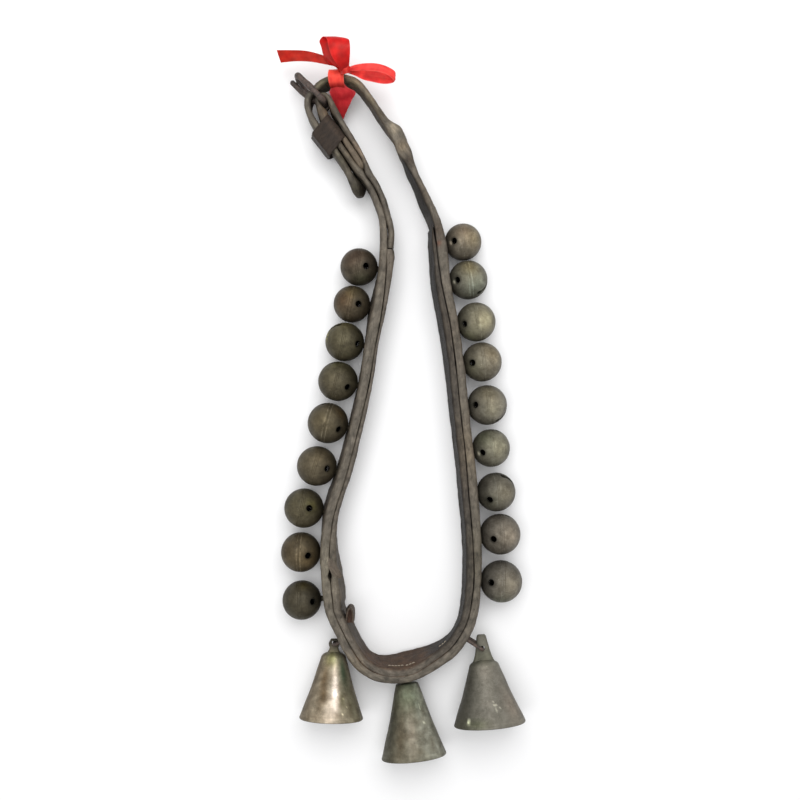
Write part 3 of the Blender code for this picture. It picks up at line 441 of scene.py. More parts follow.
class Finish:
    """A small helper that wires a Principled material; inputs are sockets, numbers or colours."""

    def __init__(self, name):
        self.material = bpy.data.materials.new(name)
        self.material.use_nodes = True
        self.tree = self.material.node_tree
        self.shader = self.tree.nodes["Principled BSDF"]

    def fill(self, node, inputs):
        for key, value in inputs.items():
            if isinstance(value, bpy.types.NodeSocket):
                self.tree.links.new(value, node.inputs[key])
            else:
                node.inputs[key].default_value = value
        return node

    def node(self, kind, inputs, **settings):
        made = self.tree.nodes.new("ShaderNode" + kind)
        for key, value in settings.items():
            setattr(made, key, value)
        return self.fill(made, inputs)

    def value(self, attribute, output="Fac"):
        return self.node("Attribute", {}, attribute_name=attribute).outputs[output]

    def here(self):
        """The object's own coordinates in millimetres."""
        source = self.node("TexCoord", {}).outputs["Object"]
        return self.stretched(source, 1 / MM, 1 / MM, 1 / MM)

    def along(self, attribute, *scale):
        """A vector attribute, stretched."""
        return self.stretched(self.value(attribute, "Vector"), *scale)

    def stretched(self, source, *scale):
        return self.node("Mapping", {"Vector": source, "Scale": scale}).outputs["Vector"]

    def noise(self, vector, scale, detail=3.0, rough=0.55, warp=0.0):
        inputs = {"Vector": vector, "Scale": scale, "Detail": detail, "Roughness": rough}
        return self.node("TexNoise", {**inputs, "Distortion": warp}).outputs["Fac"]

    def ramp(self, source, *stops):
        """A colour ramp from (position, colour) stops; a colour may be one grey number."""
        made = self.node("ValToRGB", {"Fac": source})
        elements = made.color_ramp.elements
        while len(elements) < len(stops):
            elements.new(0.5)
        for element, (place, colour) in zip(elements, stops):
            element.position = place
            grey = isinstance(colour, (int, float))
            element.color = (colour, colour, colour, 1) if grey else (*colour, 1)
        return made.outputs["Color"]

    def mix(self, factor, first, second, blend="MIX"):
        first, second = ((*c, 1) if isinstance(c, tuple) else c for c in (first, second))
        inputs = {0: factor, 6: first, 7: second}
        return self.node("Mix", inputs, data_type="RGBA", blend_type=blend).outputs[2]

    def math(self, operation, first, second):
        return self.node("Math", {0: first, 1: second}, operation=operation).outputs[0]

    def times(self, first, second):
        return self.math("MULTIPLY", first, second)

    def bumps(self, *layers):
        """A chain of (height socket, distance in metres, strength) bumps."""
        inputs = {}
        for height, distance, strength in layers:
            inputs.update({"Height": height, "Distance": distance, "Strength": strength})
            inputs["Normal"] = self.node("Bump", inputs).outputs["Normal"]
        self.fill(self.shader, {"Normal": inputs["Normal"]})

    def finish_with(self, colour, roughness, **others):
        """The material, its shader filled in; others are inputs with _ for each space."""
        inputs = {"Base Color": colour, "Roughness": roughness}
        self.fill(self.shader, {**inputs, **{k.replace("_", " "): v for k, v in others.items()}})
        return self.material

    def by_tint(self, colour):
        return self.mix(1.0, colour, self.value("tint", "Color"), "MULTIPLY")


def leather_finish(name, dark, light, pale):
    """Old dry leather: long fibres along the strap, cracks, and pale cut edges."""
    f = Finish(name)
    fibres = f.noise(f.along("grain", 0.05, 0.42, 0.42), 1.5, 6.0, 0.62, 0.5)
    blotches = f.noise(f.along("grain", 0.06, 0.11, 0.11), 1.3, 5.0, 0.62)
    grains = f.noise(f.along("grain", 0.85, 1.1, 1.1), 1.2, 4.0, 0.75)
    inputs = {"Vector": f.along("grain", 0.10, 0.42, 0.42), "Scale": 1.0}
    cracks = f.node("TexVoronoi", inputs, feature="DISTANCE_TO_EDGE").outputs["Distance"]
    crack_lines = f.ramp(cracks, (0.0, 0.0), (0.04, 1.0))
    broken = f.noise(f.along("grain", 0.07, 0.3, 0.3), 1.1, 3.0, 0.6)
    colour = f.mix(f.ramp(fibres, (0.28, 0.0), (0.70, 1.0)), dark, light)
    colour = f.mix(f.ramp(grains, (0.30, 0.0), (0.74, 0.55)), colour, pale)
    colour = f.mix(f.ramp(blotches, (0.46, 0.0), (0.72, 0.55)), colour, pale)
    worn = f.mix(f.ramp(grains, (0.30, 0.0), (0.70, 0.8)), light, pale)
    colour = f.mix(f.times(f.value("rim"), 0.75), colour, worn)
    specks = f.noise(f.along("grain", 0.7, 0.9, 0.9), 0.75, 3.0, 0.65)
    specks = f.ramp(specks, (0.68, 0.0), (0.73, 1.0))
    colour = f.mix(f.times(specks, 0.4), colour, scaled(pale, 1.6))
    broken = f.ramp(broken, (0.46, 0.0), (0.60, 1.0))
    lines = f.times(f.math("SUBTRACT", 1.0, crack_lines), broken)
    colour = f.mix(f.times(lines, 0.6), colour, scaled(dark, 0.35))
    grime = f.noise(f.along("grain", 0.09, 0.3, 0.3), 1.2, 5.0, 0.65, 0.6)
    colour = f.mix(1.0, colour, f.ramp(grime, (0.32, 0.54), (0.60, 1.0)), "MULTIPLY")
    f.bumps((fibres, 0.0008, 0.45), (grains, 0.0005, 0.6), (crack_lines, 0.0005, 0.4))
    rough = f.ramp(blotches, (0.3, 0.58), (0.8, 0.80))
    return f.finish_with(f.by_tint(colour), rough, Specular_IOR_Level=0.30)


def bronze_finish(name, dark, mid, light, scribe, metal, rough_low, rough_high):
    """Patinated bell metal with turning lines and scribed lines that wear bright."""
    f = Finish(name)
    here = f.here()
    broad = f.noise(here, 0.06, 4.0, 0.60, 0.4)
    medium = f.noise(here, 0.20, 6.0, 0.70, 0.7)
    fine = f.noise(here, 1.3, 4.0, 0.74)
    lines = f.noise(f.along("lathe", 1.5, 0.03, 0.0), 1.0, 4.0, 0.62)
    colour = f.mix(f.ramp(broad, (0.36, 0.0), (0.64, 1.0)), dark, mid)
    colour = f.mix(f.ramp(medium, (0.42, 0.0), (0.76, 0.6)), colour, light)
    colour = f.mix(f.ramp(fine, (0.42, 0.0), (0.78, 0.4)), colour, light)
    worn = f.ramp(f.noise(here, 0.20, 5.0, 0.75), (0.40, 0.0), (0.54, 1.0))
    specks = f.ramp(f.noise(here, 0.8, 3.0, 0.6), (0.68, 0.0), (0.73, 1.0))
    pits = f.ramp(f.noise(here, 0.6, 3.0, 0.6, 0.4), (0.28, 1.0), (0.34, 0.0))
    for mask, share, towards in (
        (f.ramp(lines, (0.56, 0.0), (0.70, 1.0)), 0.20, light),
        (f.ramp(lines, (0.30, 1.0), (0.42, 0.0)), 0.30, dark),
        (worn, f.value("scribe"), scribe), (specks, 0.25, scribe), (pits, 0.5, scaled(dark, 0.4)),
    ):
        colour = f.mix(f.times(mask, share), colour, towards)
    f.bumps((lines, 0.00010, 0.5), (fine, 0.00012, 0.6), (medium, 0.0005, 0.35))
    rough = f.ramp(medium, (0.3, rough_high), (0.75, rough_low))
    sheen = (0.55, 0.53, 0.46, 1.0)
    return f.finish_with(f.by_tint(colour), rough, Metallic=metal, Specular_Tint=sheen)


def iron_finish(name, dark, rust, metal):
    f = Finish(name)
    here = f.here()
    coarse = f.noise(here, 0.35, 5.0, 0.7, 0.6)
    fine = f.noise(here, 1.9, 4.0, 0.7)
    colour = f.mix(f.ramp(coarse, (0.40, 0.0), (0.62, 1.0)), dark, rust)
    colour = f.mix(f.ramp(fine, (0.60, 0.0), (0.70, 0.5)), colour, scaled(rust, 2.0))
    f.bumps((coarse, 0.0007, 0.5), (fine, 0.00025, 0.6))
    return f.finish_with(colour, f.ramp(fine, (0.3, 0.42), (0.7, 0.72)), Metallic=metal)


def satin_finish(name):
    """Red satin ribbon: fine cross ribs, a soft sheen, painted highlight streaks and a woven edge.
    """
    f = Finish(name)
    ribs = f.noise(f.along("grain", 2.6, 0.25, 0.0), 1.0, 2.0, 0.5)
    streaks = f.noise(f.along("grain", 0.05, 0.9, 0.0), 1.0, 4.0, 0.6, 0.3)
    cloud = f.noise(f.along("grain", 1, 1, 1), 0.16, 3.0, 0.55, 0.3)
    deep, mid, bright = (0.56, 0.014, 0.014), (0.72, 0.030, 0.022), (0.84, 0.07, 0.045)
    colour = f.mix(f.ramp(cloud, (0.34, 0.0), (0.66, 1.0)), deep, mid)
    # Painted highlight streaks along the ribbon.
    colour = f.mix(f.ramp(streaks, (0.50, 0.0), (0.74, 0.35)), colour, bright)
    colour = f.mix(f.times(f.value("rim"), 0.5), colour, (0.86, 0.10, 0.07))
    f.bumps((ribs, 0.00012, 0.5), (streaks, 0.0003, 0.3))
    rough = f.ramp(cloud, (0.3, 0.34), (0.7, 0.46))
    return f.finish_with(f.by_tint(colour), rough, Specular_IOR_Level=0.35, Anisotropic=0.5,
                         Specular_Tint=(1.0, 0.55, 0.48, 1.0))


def thread_finish(name, colour):
    """A lightly mottled finish."""
    f = Finish(name)
    spots = f.noise(f.here(), 1.4, 4.0, 0.6)
    f.bumps((spots, 0.0004, 0.6))
    shade = f.ramp(spots, (0.3, scaled(colour, 0.72)), (0.7, scaled(colour, 1.15)))
    return f.finish_with(shade, 0.85)


# ---------------------------------------------------------------- strap


def body_height(lean):
    turn = math.radians(lean)
    outer = BODY_HIGH / 2 * math.cos(turn) + BODY_THICK / 2 * abs(math.sin(turn))
    drop = (BODY_THICK / 2 + LAYER_GAP + LINER_THICK / 2) * math.sin(turn)
    liner = LINER_BODY / 2 * math.cos(turn) + LINER_THICK / 2 * abs(math.sin(turn)) - drop
    return max(outer, liner) + GAP


def plain_station(x, y, thick, lean=0.0, high=BILLET_HIGH, middle=BUCKLE_Z):
    """x, y, lean, depth of the outer face, depth of the inner face, height, middle height."""
    spare = (BODY_THICK - thick) / 2
    return (x, y, lean, spare, spare + thick, high, middle)


def body_station(x, y, lean, depth, liner):
    """The depths say which layer is drawn: how deep the outer one and both look together."""
    layer = (depth[0] + 0.3, depth[1], LINER_HIGH) if liner else (0.0, depth[0], BODY_HIGH)
    return [x, y, lean, *layer, body_height(lean)]


def side_stations(bells, leans, depths, liner):
    stations = []
    for bell, lean, depth in zip(bells, leans, depths):
        x, y, _ = shank_point(bell, BODY_THICK / 2)
        stations.append(body_station(x, y, lean, depth, liner))
    return stations


def shank_point(bell, beyond):
    """The point on a bell's shank that lies so far beyond the strap's outer face."""
    reach = bell.diameter / 2 + BELL_GAP + bell.slack + beyond
    flat = Vector((bell.x, bell.y, 0)) + heading(bell.heading) * reach
    return (flat.x, flat.y, bell.diameter / 2)


def body_stations(liner):
    """Left bells, bottom, right bells."""
    bottom = []
    for x, y, lean in BOTTOM:
        bottom.append(body_station(x, y, lean, BOTTOM_DEPTH, liner))
        if liner:
            bottom[-1][3] -= 0.9 * math.exp(-(((x - 2.0) / 30.0) ** 2))
    left = side_stations(LEFT_BELLS, LEFT_LEANS, LEFT_DEPTHS, liner)
    right = side_stations(RIGHT_BELLS, RIGHT_LEANS, RIGHT_DEPTHS, liner)
    return left + bottom + right[::-1]


def outer_stations():
    """From the fold-back round the buckle's bar, down the left, up the right, and the billet."""
    stations = [plain_station(x, y, FOLD_THICK) for x, y in FOLD_BACK]
    for angle in FOLD_ANGLES:
        point = Vector((*BUCKLE_BAR, 0)) + heading(angle) * FOLD_REACH
        stations.append(plain_station(point.x, point.y, CHAPE_THICK))
    stations += [plain_station(x, y, FOLD_THICK) for x, y in CHAPE[:-2]]
    stations += [
        plain_station(*CHAPE[-2], 5.4, high=26.0, middle=17.0),
        plain_station(*CHAPE[-1], 6.0, high=29.0, middle=16.3),
        *body_stations(False),
    ]
    heights = [(BODY_HIGH + BILLET_HIGH) / 2] + [BILLET_HIGH] * (len(BILLET) - 1)
    heights[-len(TIP_HEIGHTS):] = TIP_HEIGHTS
    for i, (row, high) in enumerate(zip(BILLET, heights)):
        x, y, lean, thick = (*row, 0.0, BILLET_THICK)[:4]
        low = BODY_HIGH / 2 + GAP
        middle = low + (BUCKLE_Z - BODY_HIGH / 2 - GAP) * min(1.0, i / 8)
        stations.append(plain_station(x, y, thick, lean, high, middle))
    return stations


def liner_stations():
    left = body_station(*LINER_TOP_LEFT, (6.0, 11.0), True)
    right = body_station(*LINER_TOP_RIGHT, (7.6, 11.4), True)
    return [left, *body_stations(True), right]


def strap_frames(read):
    """Middle points, across vectors (out of the loop) and upright vectors of read stations."""
    run = unit(np.gradient(read[:, :2], axis=0))
    out = np.stack([run[:, 1], -run[:, 0], np.zeros(len(run))], 1)
    lean = np.radians(read[:, 2])[:, None]
    across = out * np.cos(lean) - np.array(UP) * np.sin(lean)
    upright = out * np.sin(lean) + np.array(UP) * np.cos(lean)
    middle = np.stack([read[:, 0], read[:, 1], read[:, 6]], 1)
    return middle, across, upright


def strap_layer(read, radii, dome, ragged, seed):
    """A leather layer with rounded, domed and slightly ragged edges.

    radii: how far the edges are rounded on the outer and on the inner face. Gives the shape and,
    for each point, how much it is an edge and its place along, through and up the strap.
    """
    middle, across, upright = (part[:, None] for part in strap_frames(read))
    half_high = read[:, 5] / 2
    outer, inner = BODY_THICK / 2 - read[:, 3], BODY_THICK / 2 - read[:, 4]
    half, centre = (outer - inner) / 2, ((outer + inner) / 2)[:, None]
    bends = {1: np.minimum(radii[0], half * 0.92), -1: np.minimum(radii[1], half * 0.92)}
    columns = []
    for sign_a, sign_b, order in ((1, 1, -1), (1, -1, 1), (-1, -1, -1), (-1, 1, 1)):
        bend = bends[sign_a]
        for t in np.radians(np.linspace(0, 90, 7))[::order]:
            a = sign_a * (half - bend + bend * math.cos(t))
            b = sign_b * (half_high - bend + bend * math.sin(t))
            columns.append((a, b, math.sin(t) ** 2))
        if sign_a == sign_b:
            for share in np.linspace(1, -1, 11)[1:-1]:
                columns.append((sign_a * half, sign_b * share * (half_high - bend), 0.0))
        else:
            start, end = sign_a * (half - bend), -sign_a * (half - bends[-sign_a])
            for share in (0.25, 0.5, 0.75):
                columns.append((start + (end - start) * share, sign_b * half_high, 1.0))
    a, b, rim = (np.stack([np.broadcast_to(c[k], len(read)) for c in columns], 1) for k in range(3))
    b = b + np.sign(b) * dome * rim * (1 - (a / half[:, None]) ** 2)
    rings = middle + (centre + a)[..., None] * across + b[..., None] * upright
    flat = rings.reshape(-1, 3)
    outward = (np.sign(a) * (1 - rim))[..., None] * across + (np.sign(b) * rim)[..., None] * upright
    push = uneven(flat, (0.45, 13.0, seed), (0.22, 3.4, seed + 1), (0.10, 1.5, seed + 2)) - 1
    push *= ragged * rise(flat[:, 2:], 0, 2.0)
    rings = (flat + outward.reshape(-1, 3) * push).reshape(rings.shape)
    rings[..., 2] = np.maximum(rings[..., 2], 0.05)
    along = np.broadcast_to(run_length(read[:, :2])[:, None], a.shape)
    grain = capped(np.stack([along, centre + a, b], -1))
    return closed_grid(rings), np.append(rim, [1.0, 1.0]), grain


# Coloured patches on the leather: x, y, radius, red, green, blue. The dark patch at the billet's
# tip (-35, 171) is painted shade.
LEATHER_PATCHES = (
    (-5.5, 219, 5, 2, 1.95, 1.8), (2, 205, 4.5, 1.8, 1.65, 1.4), (8, 193, 7, 0.52, 0.46, 0.42),
    (20, 170, 14, 0.84, 0.78, 0.72), (-15, 232, 5, 0.8, 0.74, 0.62), (-22, 243, 6, 1.3, 1.22, 1),
    (-37, 258, 9, 2.15, 2.02, 1.6), (-62, 257, 10, 0.9, 0.9, 0.7), (-60, 233, 8, 0.75, 0.6, 0.46),
    (-34, 202, 11, 1.45, 1.28, 1.16), (-50, 192, 12, 0.66, 0.68, 0.6),
    (-35, 171, 9, 0.4, 0.4, 0.34), (-13, 112, 26, 1.08, 1.06, 1.04), (30, 137, 9, 0.62, 0.54, 0.5),
    (31, 126, 2.2, 1.1, 0.62, 0.52), (38, 56, 25, 0.9, 0.87, 0.84), (54, -40, 25, 1.22, 1.15, 1.04),
    (58, -129, 30, 0.79, 0.79, 0.74), (-58, -140, 26, 1.22, 1.24, 1.18),
    (6.6, -225, 3.4, 1.6, 1.6, 1.55), (-35, -213, 9, 1.25, 1.2, 1.1),
)


def strap_tint(points, grain, rim):
    """Painted shade on darker, browner sides, lower down and on the right side's inner face;
    patches; reddish brown inner side round the bottom.
    """
    x, y, z = np.array(points).T[..., None]
    deep, side = grain[:, 1, None], (1 - rim)[:, None]
    # Painted shade: the upright faces darker than the top edge, and all of it darker towards the
    # table.
    tint = 1 - side * np.array([0.28, 0.32, 0.36]) - rise(z, 30, -30) * 0.22
    inner = (deep < -1.5) * side
    bottom = rise(y, -196, -12)
    tint *= 1 + inner * bottom * np.array([0.0, -0.27, -0.42])
    # Painted shade on the inner face of the right side, less of it round the bottom, and more
    # deeper in.
    right = rise(x, np.where(y < 150, 18, -4), 8) * (y < 195)
    tint *= 1 - inner * right * (1 - 0.8 * bottom) * np.array([0.70, 0.71, 0.71])
    tint *= 1 - 0.40 * rise(deep, -3, -2.5) * right
    tint *= uneven(points, (0.42, 6, 41), (0.34, 2.4, 42))
    for at_x, at_y, radius, *colour in LEATHER_PATCHES:
        tint = tinted(tint, near(np.hypot(x - at_x, y - at_y)[:, 0], radius), colour)
    return np.clip(tint, 0.05, 3.0)


def strap_object(name, node, slot, read, finish, *details):
    shape, rim, grain = strap_layer(read, *details)
    made = joined(name, [shape], finish, 60)
    paint(made, strap_tint(shape[0], grain, rim), rim=rim, grain=grain)
    ride(made, "strap", node, slot=slot)


def widened(read, x, y, width, first, second, lean=0.0):
    """Moves the two faces' depths near one place along the strap, and leans the strap there."""
    share = near(np.hypot(read[:, 0] - x, read[:, 1] - y), width)
    read[:, 2:5] += share * np.array([lean, first, second])


# Where the outer layer swells: first and last station read, then what widened() takes.
OUTER_SWELLS = (
    (0, None, -58.6, -142.0, 3.0, 0.0, -1.9), (0, None, 31.2, 125.5, 1.6, 0.0, -0.8),
    (0, None, -60.5, 232.0, 6.0, 0.0, 5.0),
    (0, 80, -31.0, 195.0, 11.0, 0.0, -2.0), (0, 80, -25.5, 184.0, 5.0, 0.0, 1.7),
    (92, 180, -32.0, 184.0, 5.0, 0.0, 1.3), (-240, None, -2.5, 217.0, 8.0, -3.6, 0.3),
    (-240, None, 4.5, 203.0, 7.0, -0.6, 2.1), (-240, None, 21.0, 164.0, 19.0, 1.4, 1.9, 10.0),
    (-240, None, 9.0, 189.0, 11.0, 0.2, 1.9, 3.0), (-22, None, -36.0, 173.0, 7.0, 0.0, 2.6),
)


LINER_SWELLS = (
    (0, None, -58.6, -142.0, 3.0, 1.2, 0.6), (0, 60, -14.0, 117.5, 6.0, 0.0, 1.5),
    (0, None, *LINER_TOP_RIGHT[:2], 8.0, 0.0, -2.6),
)


def swollen(read, swells):
    for first, last, *details in swells:
        widened(read[first:last], *details)
    return read


def make_straps(leather, dark_leather):
    read = smooth(outer_stations(), 1.5)
    read[0, :2] += (read[0, :2] - read[1, :2]) * 1.9
    swollen(read, OUTER_SWELLS)
    facing = rise(read[:, 5], 25, 5)
    strap_object("strap_outer_layer", "outer_strap", "outer_leather", read, leather,
                 (2.4, 2.2 - 1.4 * facing), 0.5, 1.0, 3)
    read = swollen(smooth(liner_stations(), 1.5), LINER_SWELLS)
    strap_object("strap_liner", "liner_strap", "liner_leather", read, dark_leather,
                 (0.8, 2.6), 0.4, 1.15, 11)
    return read


# Torn flap on the liner's top edge and a curled tab standing on its inner edge, as bands; the last
# number is the thickness.
LEATHER_SCRAPS = {
    "torn_flap": (
        (
            (-57.2, -128, 30.4, 1, 0.7), (-55.2, -132, 31.8, 2.2, 1.3),
            (-52.4, -136.2, 32.6, 2.9, 1.7, 0.2), (-49.8, -139.8, 32, 2.4, 1.3, 0.2),
            (-47.9, -142.4, 30, 1.2, 0.6, 0.2),
        ),
        0.6, (1.15, 1.1, 1.05), 0.8, 1.5,
    ),
    "curled_tab": (
        (
            (-45.2, -182.6, 24, 0.2, 0, 5.4), (-43.6, -178.4, 24, 0.2, 0, 6),
            (-43.3, -173.6, 24.4, 0.3, 0, 6.6), (-42.4, -169.4, 24.8, 0.2, 0, 6.8),
            (-40.2, -167.2, 25, 0, 0.2, 7), (-38.3, -168.8, 25, -0.2, 0, 6.8),
            (-37.6, -173.4, 24.4, -0.3, 0, 6.6), (-37.9, -179.6, 24, -0.2, 0, 6),
        ),
        0.2, (0.6, 0.5, 0.44), 0.5, 1.3,
    ),
    "tab_lining": (
        (
            (-40.4, -168.6, 28.4, 1.6, 0, 0.2), (-40.5, -172, 27.4, 2.4, 0, 0.2),
            (-40.4, -176, 26.8, 2.5, 0), (-40.3, -180, 26.6, 2.2, 0),
        ),
        -0.5, (0.66, 0.4, 0.31), 0.5, 1.2,
    ),
}
# Rows of thread on the liner's inner face: first x, last x, height on the face.
THREAD_ROWS = ((-9, 3.4, 9), (6.6, 14.8, 10), (37, 43, 8.5))


def make_scraps(leather):
    for seed, (name, scrap) in enumerate(LEATHER_SCRAPS.items(), 60):
        stations, cup, shade, wrinkle, thick = scrap
        shape, rim, grain = band_shape(stations, cup, wrinkle, seed, thick)
        made = joined(name, [shape], leather, 60)
        paint(made, np.ones((len(rim), 3)) * shade, rim=rim * 0.4, grain=grain)
        ride(made, "strap")


def make_stitches(read, thread):
    """Worn stitches along the inner face round the bottom."""
    low = read[read[:, 1] < -185.0]
    middle, across, upright = strap_frames(low)
    face = middle + across * (BODY_THICK / 2 - low[:, 4] - 0.15)[:, None]
    shapes = []
    for first, last, height in THREAD_ROWS:
        lines = np.hstack([face + upright * height, across]).T
        for start in np.arange(first, last, 2.9):
            path = []
            for share in (0.0, 0.35, 0.65, 1.0):
                at = np.array([np.interp(start + 1.5 * share, low[:, 0], line) for line in lines])
                path.append(at[:3] - at[3:] * 0.35 * math.sin(math.pi * share))
            shapes.append(rounded_rod(path, THREAD_RADIUS, around=10, rough=0.06, seed=14))
    ride(joined("bottom_stitches", shapes, thread), "strap")


def ride(thing, body, *nodes, slot=None):
    """A piece rides on its body and stands for CAD nodes."""
    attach(thing, body)
    if nodes:
        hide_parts(*nodes)
    return thing


# ---------------------------------------------------------------- crotal bells


def crotal_profile(radius, tip):
    """(along, out) from the pole: scribed lines round the equator and a stubby shank."""
    scribes = []
    for place in SCRIBE_PLACES:
        middle = math.degrees(math.acos(-place / radius))
        width = math.degrees(0.32 / radius)
        scribes += [(middle - width, 0.0), (middle, -0.22), (middle + width, 0.0)]
    keep = [(a, 0.0) for a in np.linspace(0, 180, 61) if all(abs(a - s[0]) > 1.6 for s in scribes)]
    profile = []
    for angle, dent in sorted(keep + scribes):
        turn = math.radians(angle)
        along, out = -(radius + dent) * math.cos(turn), (radius + dent) * math.sin(turn)
        if along > 0 and out < SHANK_RADIUS + 1.6:
            break
        profile.append((along, out))
    root = profile[-1][0]
    return profile + [
        (root + 0.35, SHANK_RADIUS + 0.55), (root + 0.9, SHANK_RADIUS + 0.1),
        (root + 1.6, SHANK_RADIUS), (tip - 0.8, SHANK_RADIUS), (tip - 0.2, SHANK_RADIUS - 0.6),
        (tip, 0.0),
    ]


def throat_cutter(radius, finish):
    """Slit with a round hole at each end, about the X axis, made once and resized."""
    reach = math.radians(THROAT_REACH)
    low = (-radius - 2, -radius - 2, -THROAT_HALF)
    slit = box_shape(low, (-radius * math.cos(reach), radius + 2, THROAT_HALF))
    cutter = joined("throat", [slit], finish)
    for sign in (-1, 1):
        out = np.array([-math.cos(reach), math.sin(reach) * sign, 0])
        hole = rod_shape(THROAT_HOLE, out * (radius - 6), out * (radius + 2))
        boolean(cutter, joined("end", [hole], finish), "UNION")
    points = [tuple(np.array(v.co) / MM - np.array(SHIFT)) for v in cutter.data.vertices]
    faces = [tuple(p.vertices) for p in cutter.data.polygons]
    bpy.data.objects.remove(cutter)
    return points, faces


def crotal(name, bell, throat, finish):
    """A hollow bell with its sound holes, throat, shank and eye, drawn in place.

    Gives the object, its points about the shank's axis, and its points in place.
    """
    radius = bell.diameter / 2
    inner = radius - CROTAL_WALL
    eye_at = radius + BELL_GAP + bell.slack + BODY_THICK + EYE_DEPTH
    shell = lathe(crotal_profile(radius, eye_at + SHANK_RADIUS), 72)
    half_round = np.linspace(0, math.pi, 25)[:-1]
    hollow, faces = lathe([*((-inner * math.cos(t), inner * math.sin(t)) for t in half_round),
                           (inner, 0.0)], 40)
    made = uncut(name, (shell, (hollow, [f[::-1] for f in faces])))
    slit = (np.array(throat[0]) * radius / NOMINAL_RADIUS, throat[1])
    cuts = [moved(slit, turn_about("X", bell.slit))]
    for sign in (-1, 1):
        out = hole_way(bell) * np.array([1, 1, sign])
        cuts.append(rod_shape(SOUND_HOLE, out * 6, out * (radius + 2), 32))
    eye = rod_shape(EYE_HOLE, (eye_at, -4, 0), (eye_at, 4, 0), 20)
    cuts.append(moved(eye, turn_about("X", -bell.roll)))
    boolean(made, uncut("cutter", cuts), "DIFFERENCE")
    local = np.array([v.co for v in made.data.vertices]) / MM
    place = shift_by(bell.x, bell.y, radius) @ turn_about("Z", bell.heading)
    place = place @ turn_about("X", bell.roll)
    return made, local, stand(made, local, place, finish, 38, 0.02)


def hole_way(bell):
    """The direction from a bell's centre to its upper sound hole."""
    slope = math.radians(bell.hole)
    return np.array([math.sin(slope), 0, math.cos(slope)])


def crotal_values(local, radius, shares):
    """How scribed each point is, and its turned coordinates."""
    reach = lengths(local)
    lines = [0.72 * share * np.exp(-(((local[:, 0] - place) / 0.22) ** 2))
             for place, share in zip(SCRIBE_PLACES, shares)]
    scribe = np.max(lines, axis=0) * (reach > radius - 0.8)
    angle = np.arctan2(local[:, 2], local[:, 1])
    return {"scribe": scribe, "lathe": np.stack([local[:, 0], radius * angle, reach], 1)}


# How bright the three scribed lines are worn, and the base colour; then patches: direction seen
# from above (x, y), size, and colour. The patches are partly the bells' own tone and partly
# painted highlight, such as the bright patch towards +x on each right bell.
LEFT_LOOKS = (
    (
        (0.05, 0, 0.08, 0.86, 0.8, 0.78), (-0.3, 0.6, 0.7, 1.06, 0.88, 0.84),
        (0.2, -0.8, 0.6, 0.84, 1, 0.88),
    ),
    (
        (0, 0.35, 0.05, 0.92, 0.86, 0.76), (-0.5, 0.2, 0.6, 1.1, 0.88, 0.78),
        (0, 0.6, 0.5, 1.2, 1.2, 0.95),
    ),
    (
        (0, 0.06, 0.12, 0.96, 0.98, 0.8), (-0.93, 0.18, 0.17, 6, 6.4, 4),
        (-0.8, 0.5, 0.15, 6.5, 6.8, 4.4), (0.1, 0.9, 0.35, 1.6, 1.6, 1.3),
    ),
    (
        (0.1, 0, 0.25, 0.98, 0.98, 0.84), (0.7, 0.6, 0.5, 0.8, 0.82, 0.7),
        (-0.1, 0.9, 0.4, 1.25, 1.35, 1.1),
    ),
    (
        (0.85, 0, 0.8, 1.02, 1, 0.88), (0.7, 0.5, 0.35, 1.15, 0.95, 0.7),
        (-0.2, 0.2, 0.6, 1.1, 1.06, 0.96),
    ),
    (
        (0, 0.05, 0, 1.06, 1.02, 0.9), (0.35, 0.45, 0.5, 1.25, 1.2, 1.1),
        (-0.7, -0.5, 0.5, 0.8, 0.8, 0.8),
    ),
    (
        (0, 0, 0.05, 0.92, 0.92, 0.76), (0.45, 0.2, 0.3, 1.45, 1.5, 0.8),
        (-0.7, 0.5, 0.5, 0.8, 0.82, 0.8),
    ),
    (
        (0.9, 0, 0.9, 0.98, 0.9, 0.74), (0.5, -0.2, 0.45, 1.3, 1.16, 0.9),
        (-0.8, 0.1, 0.6, 0.86, 0.78, 0.7),
    ),
    (
        (0, 0.05, 0, 0.68, 0.68, 0.62), (0.1, 0.9, 0.4, 1.3, 1.25, 0.85),
        (-0.7, -0.5, 0.6, 0.82, 0.86, 0.84),
    ),
)
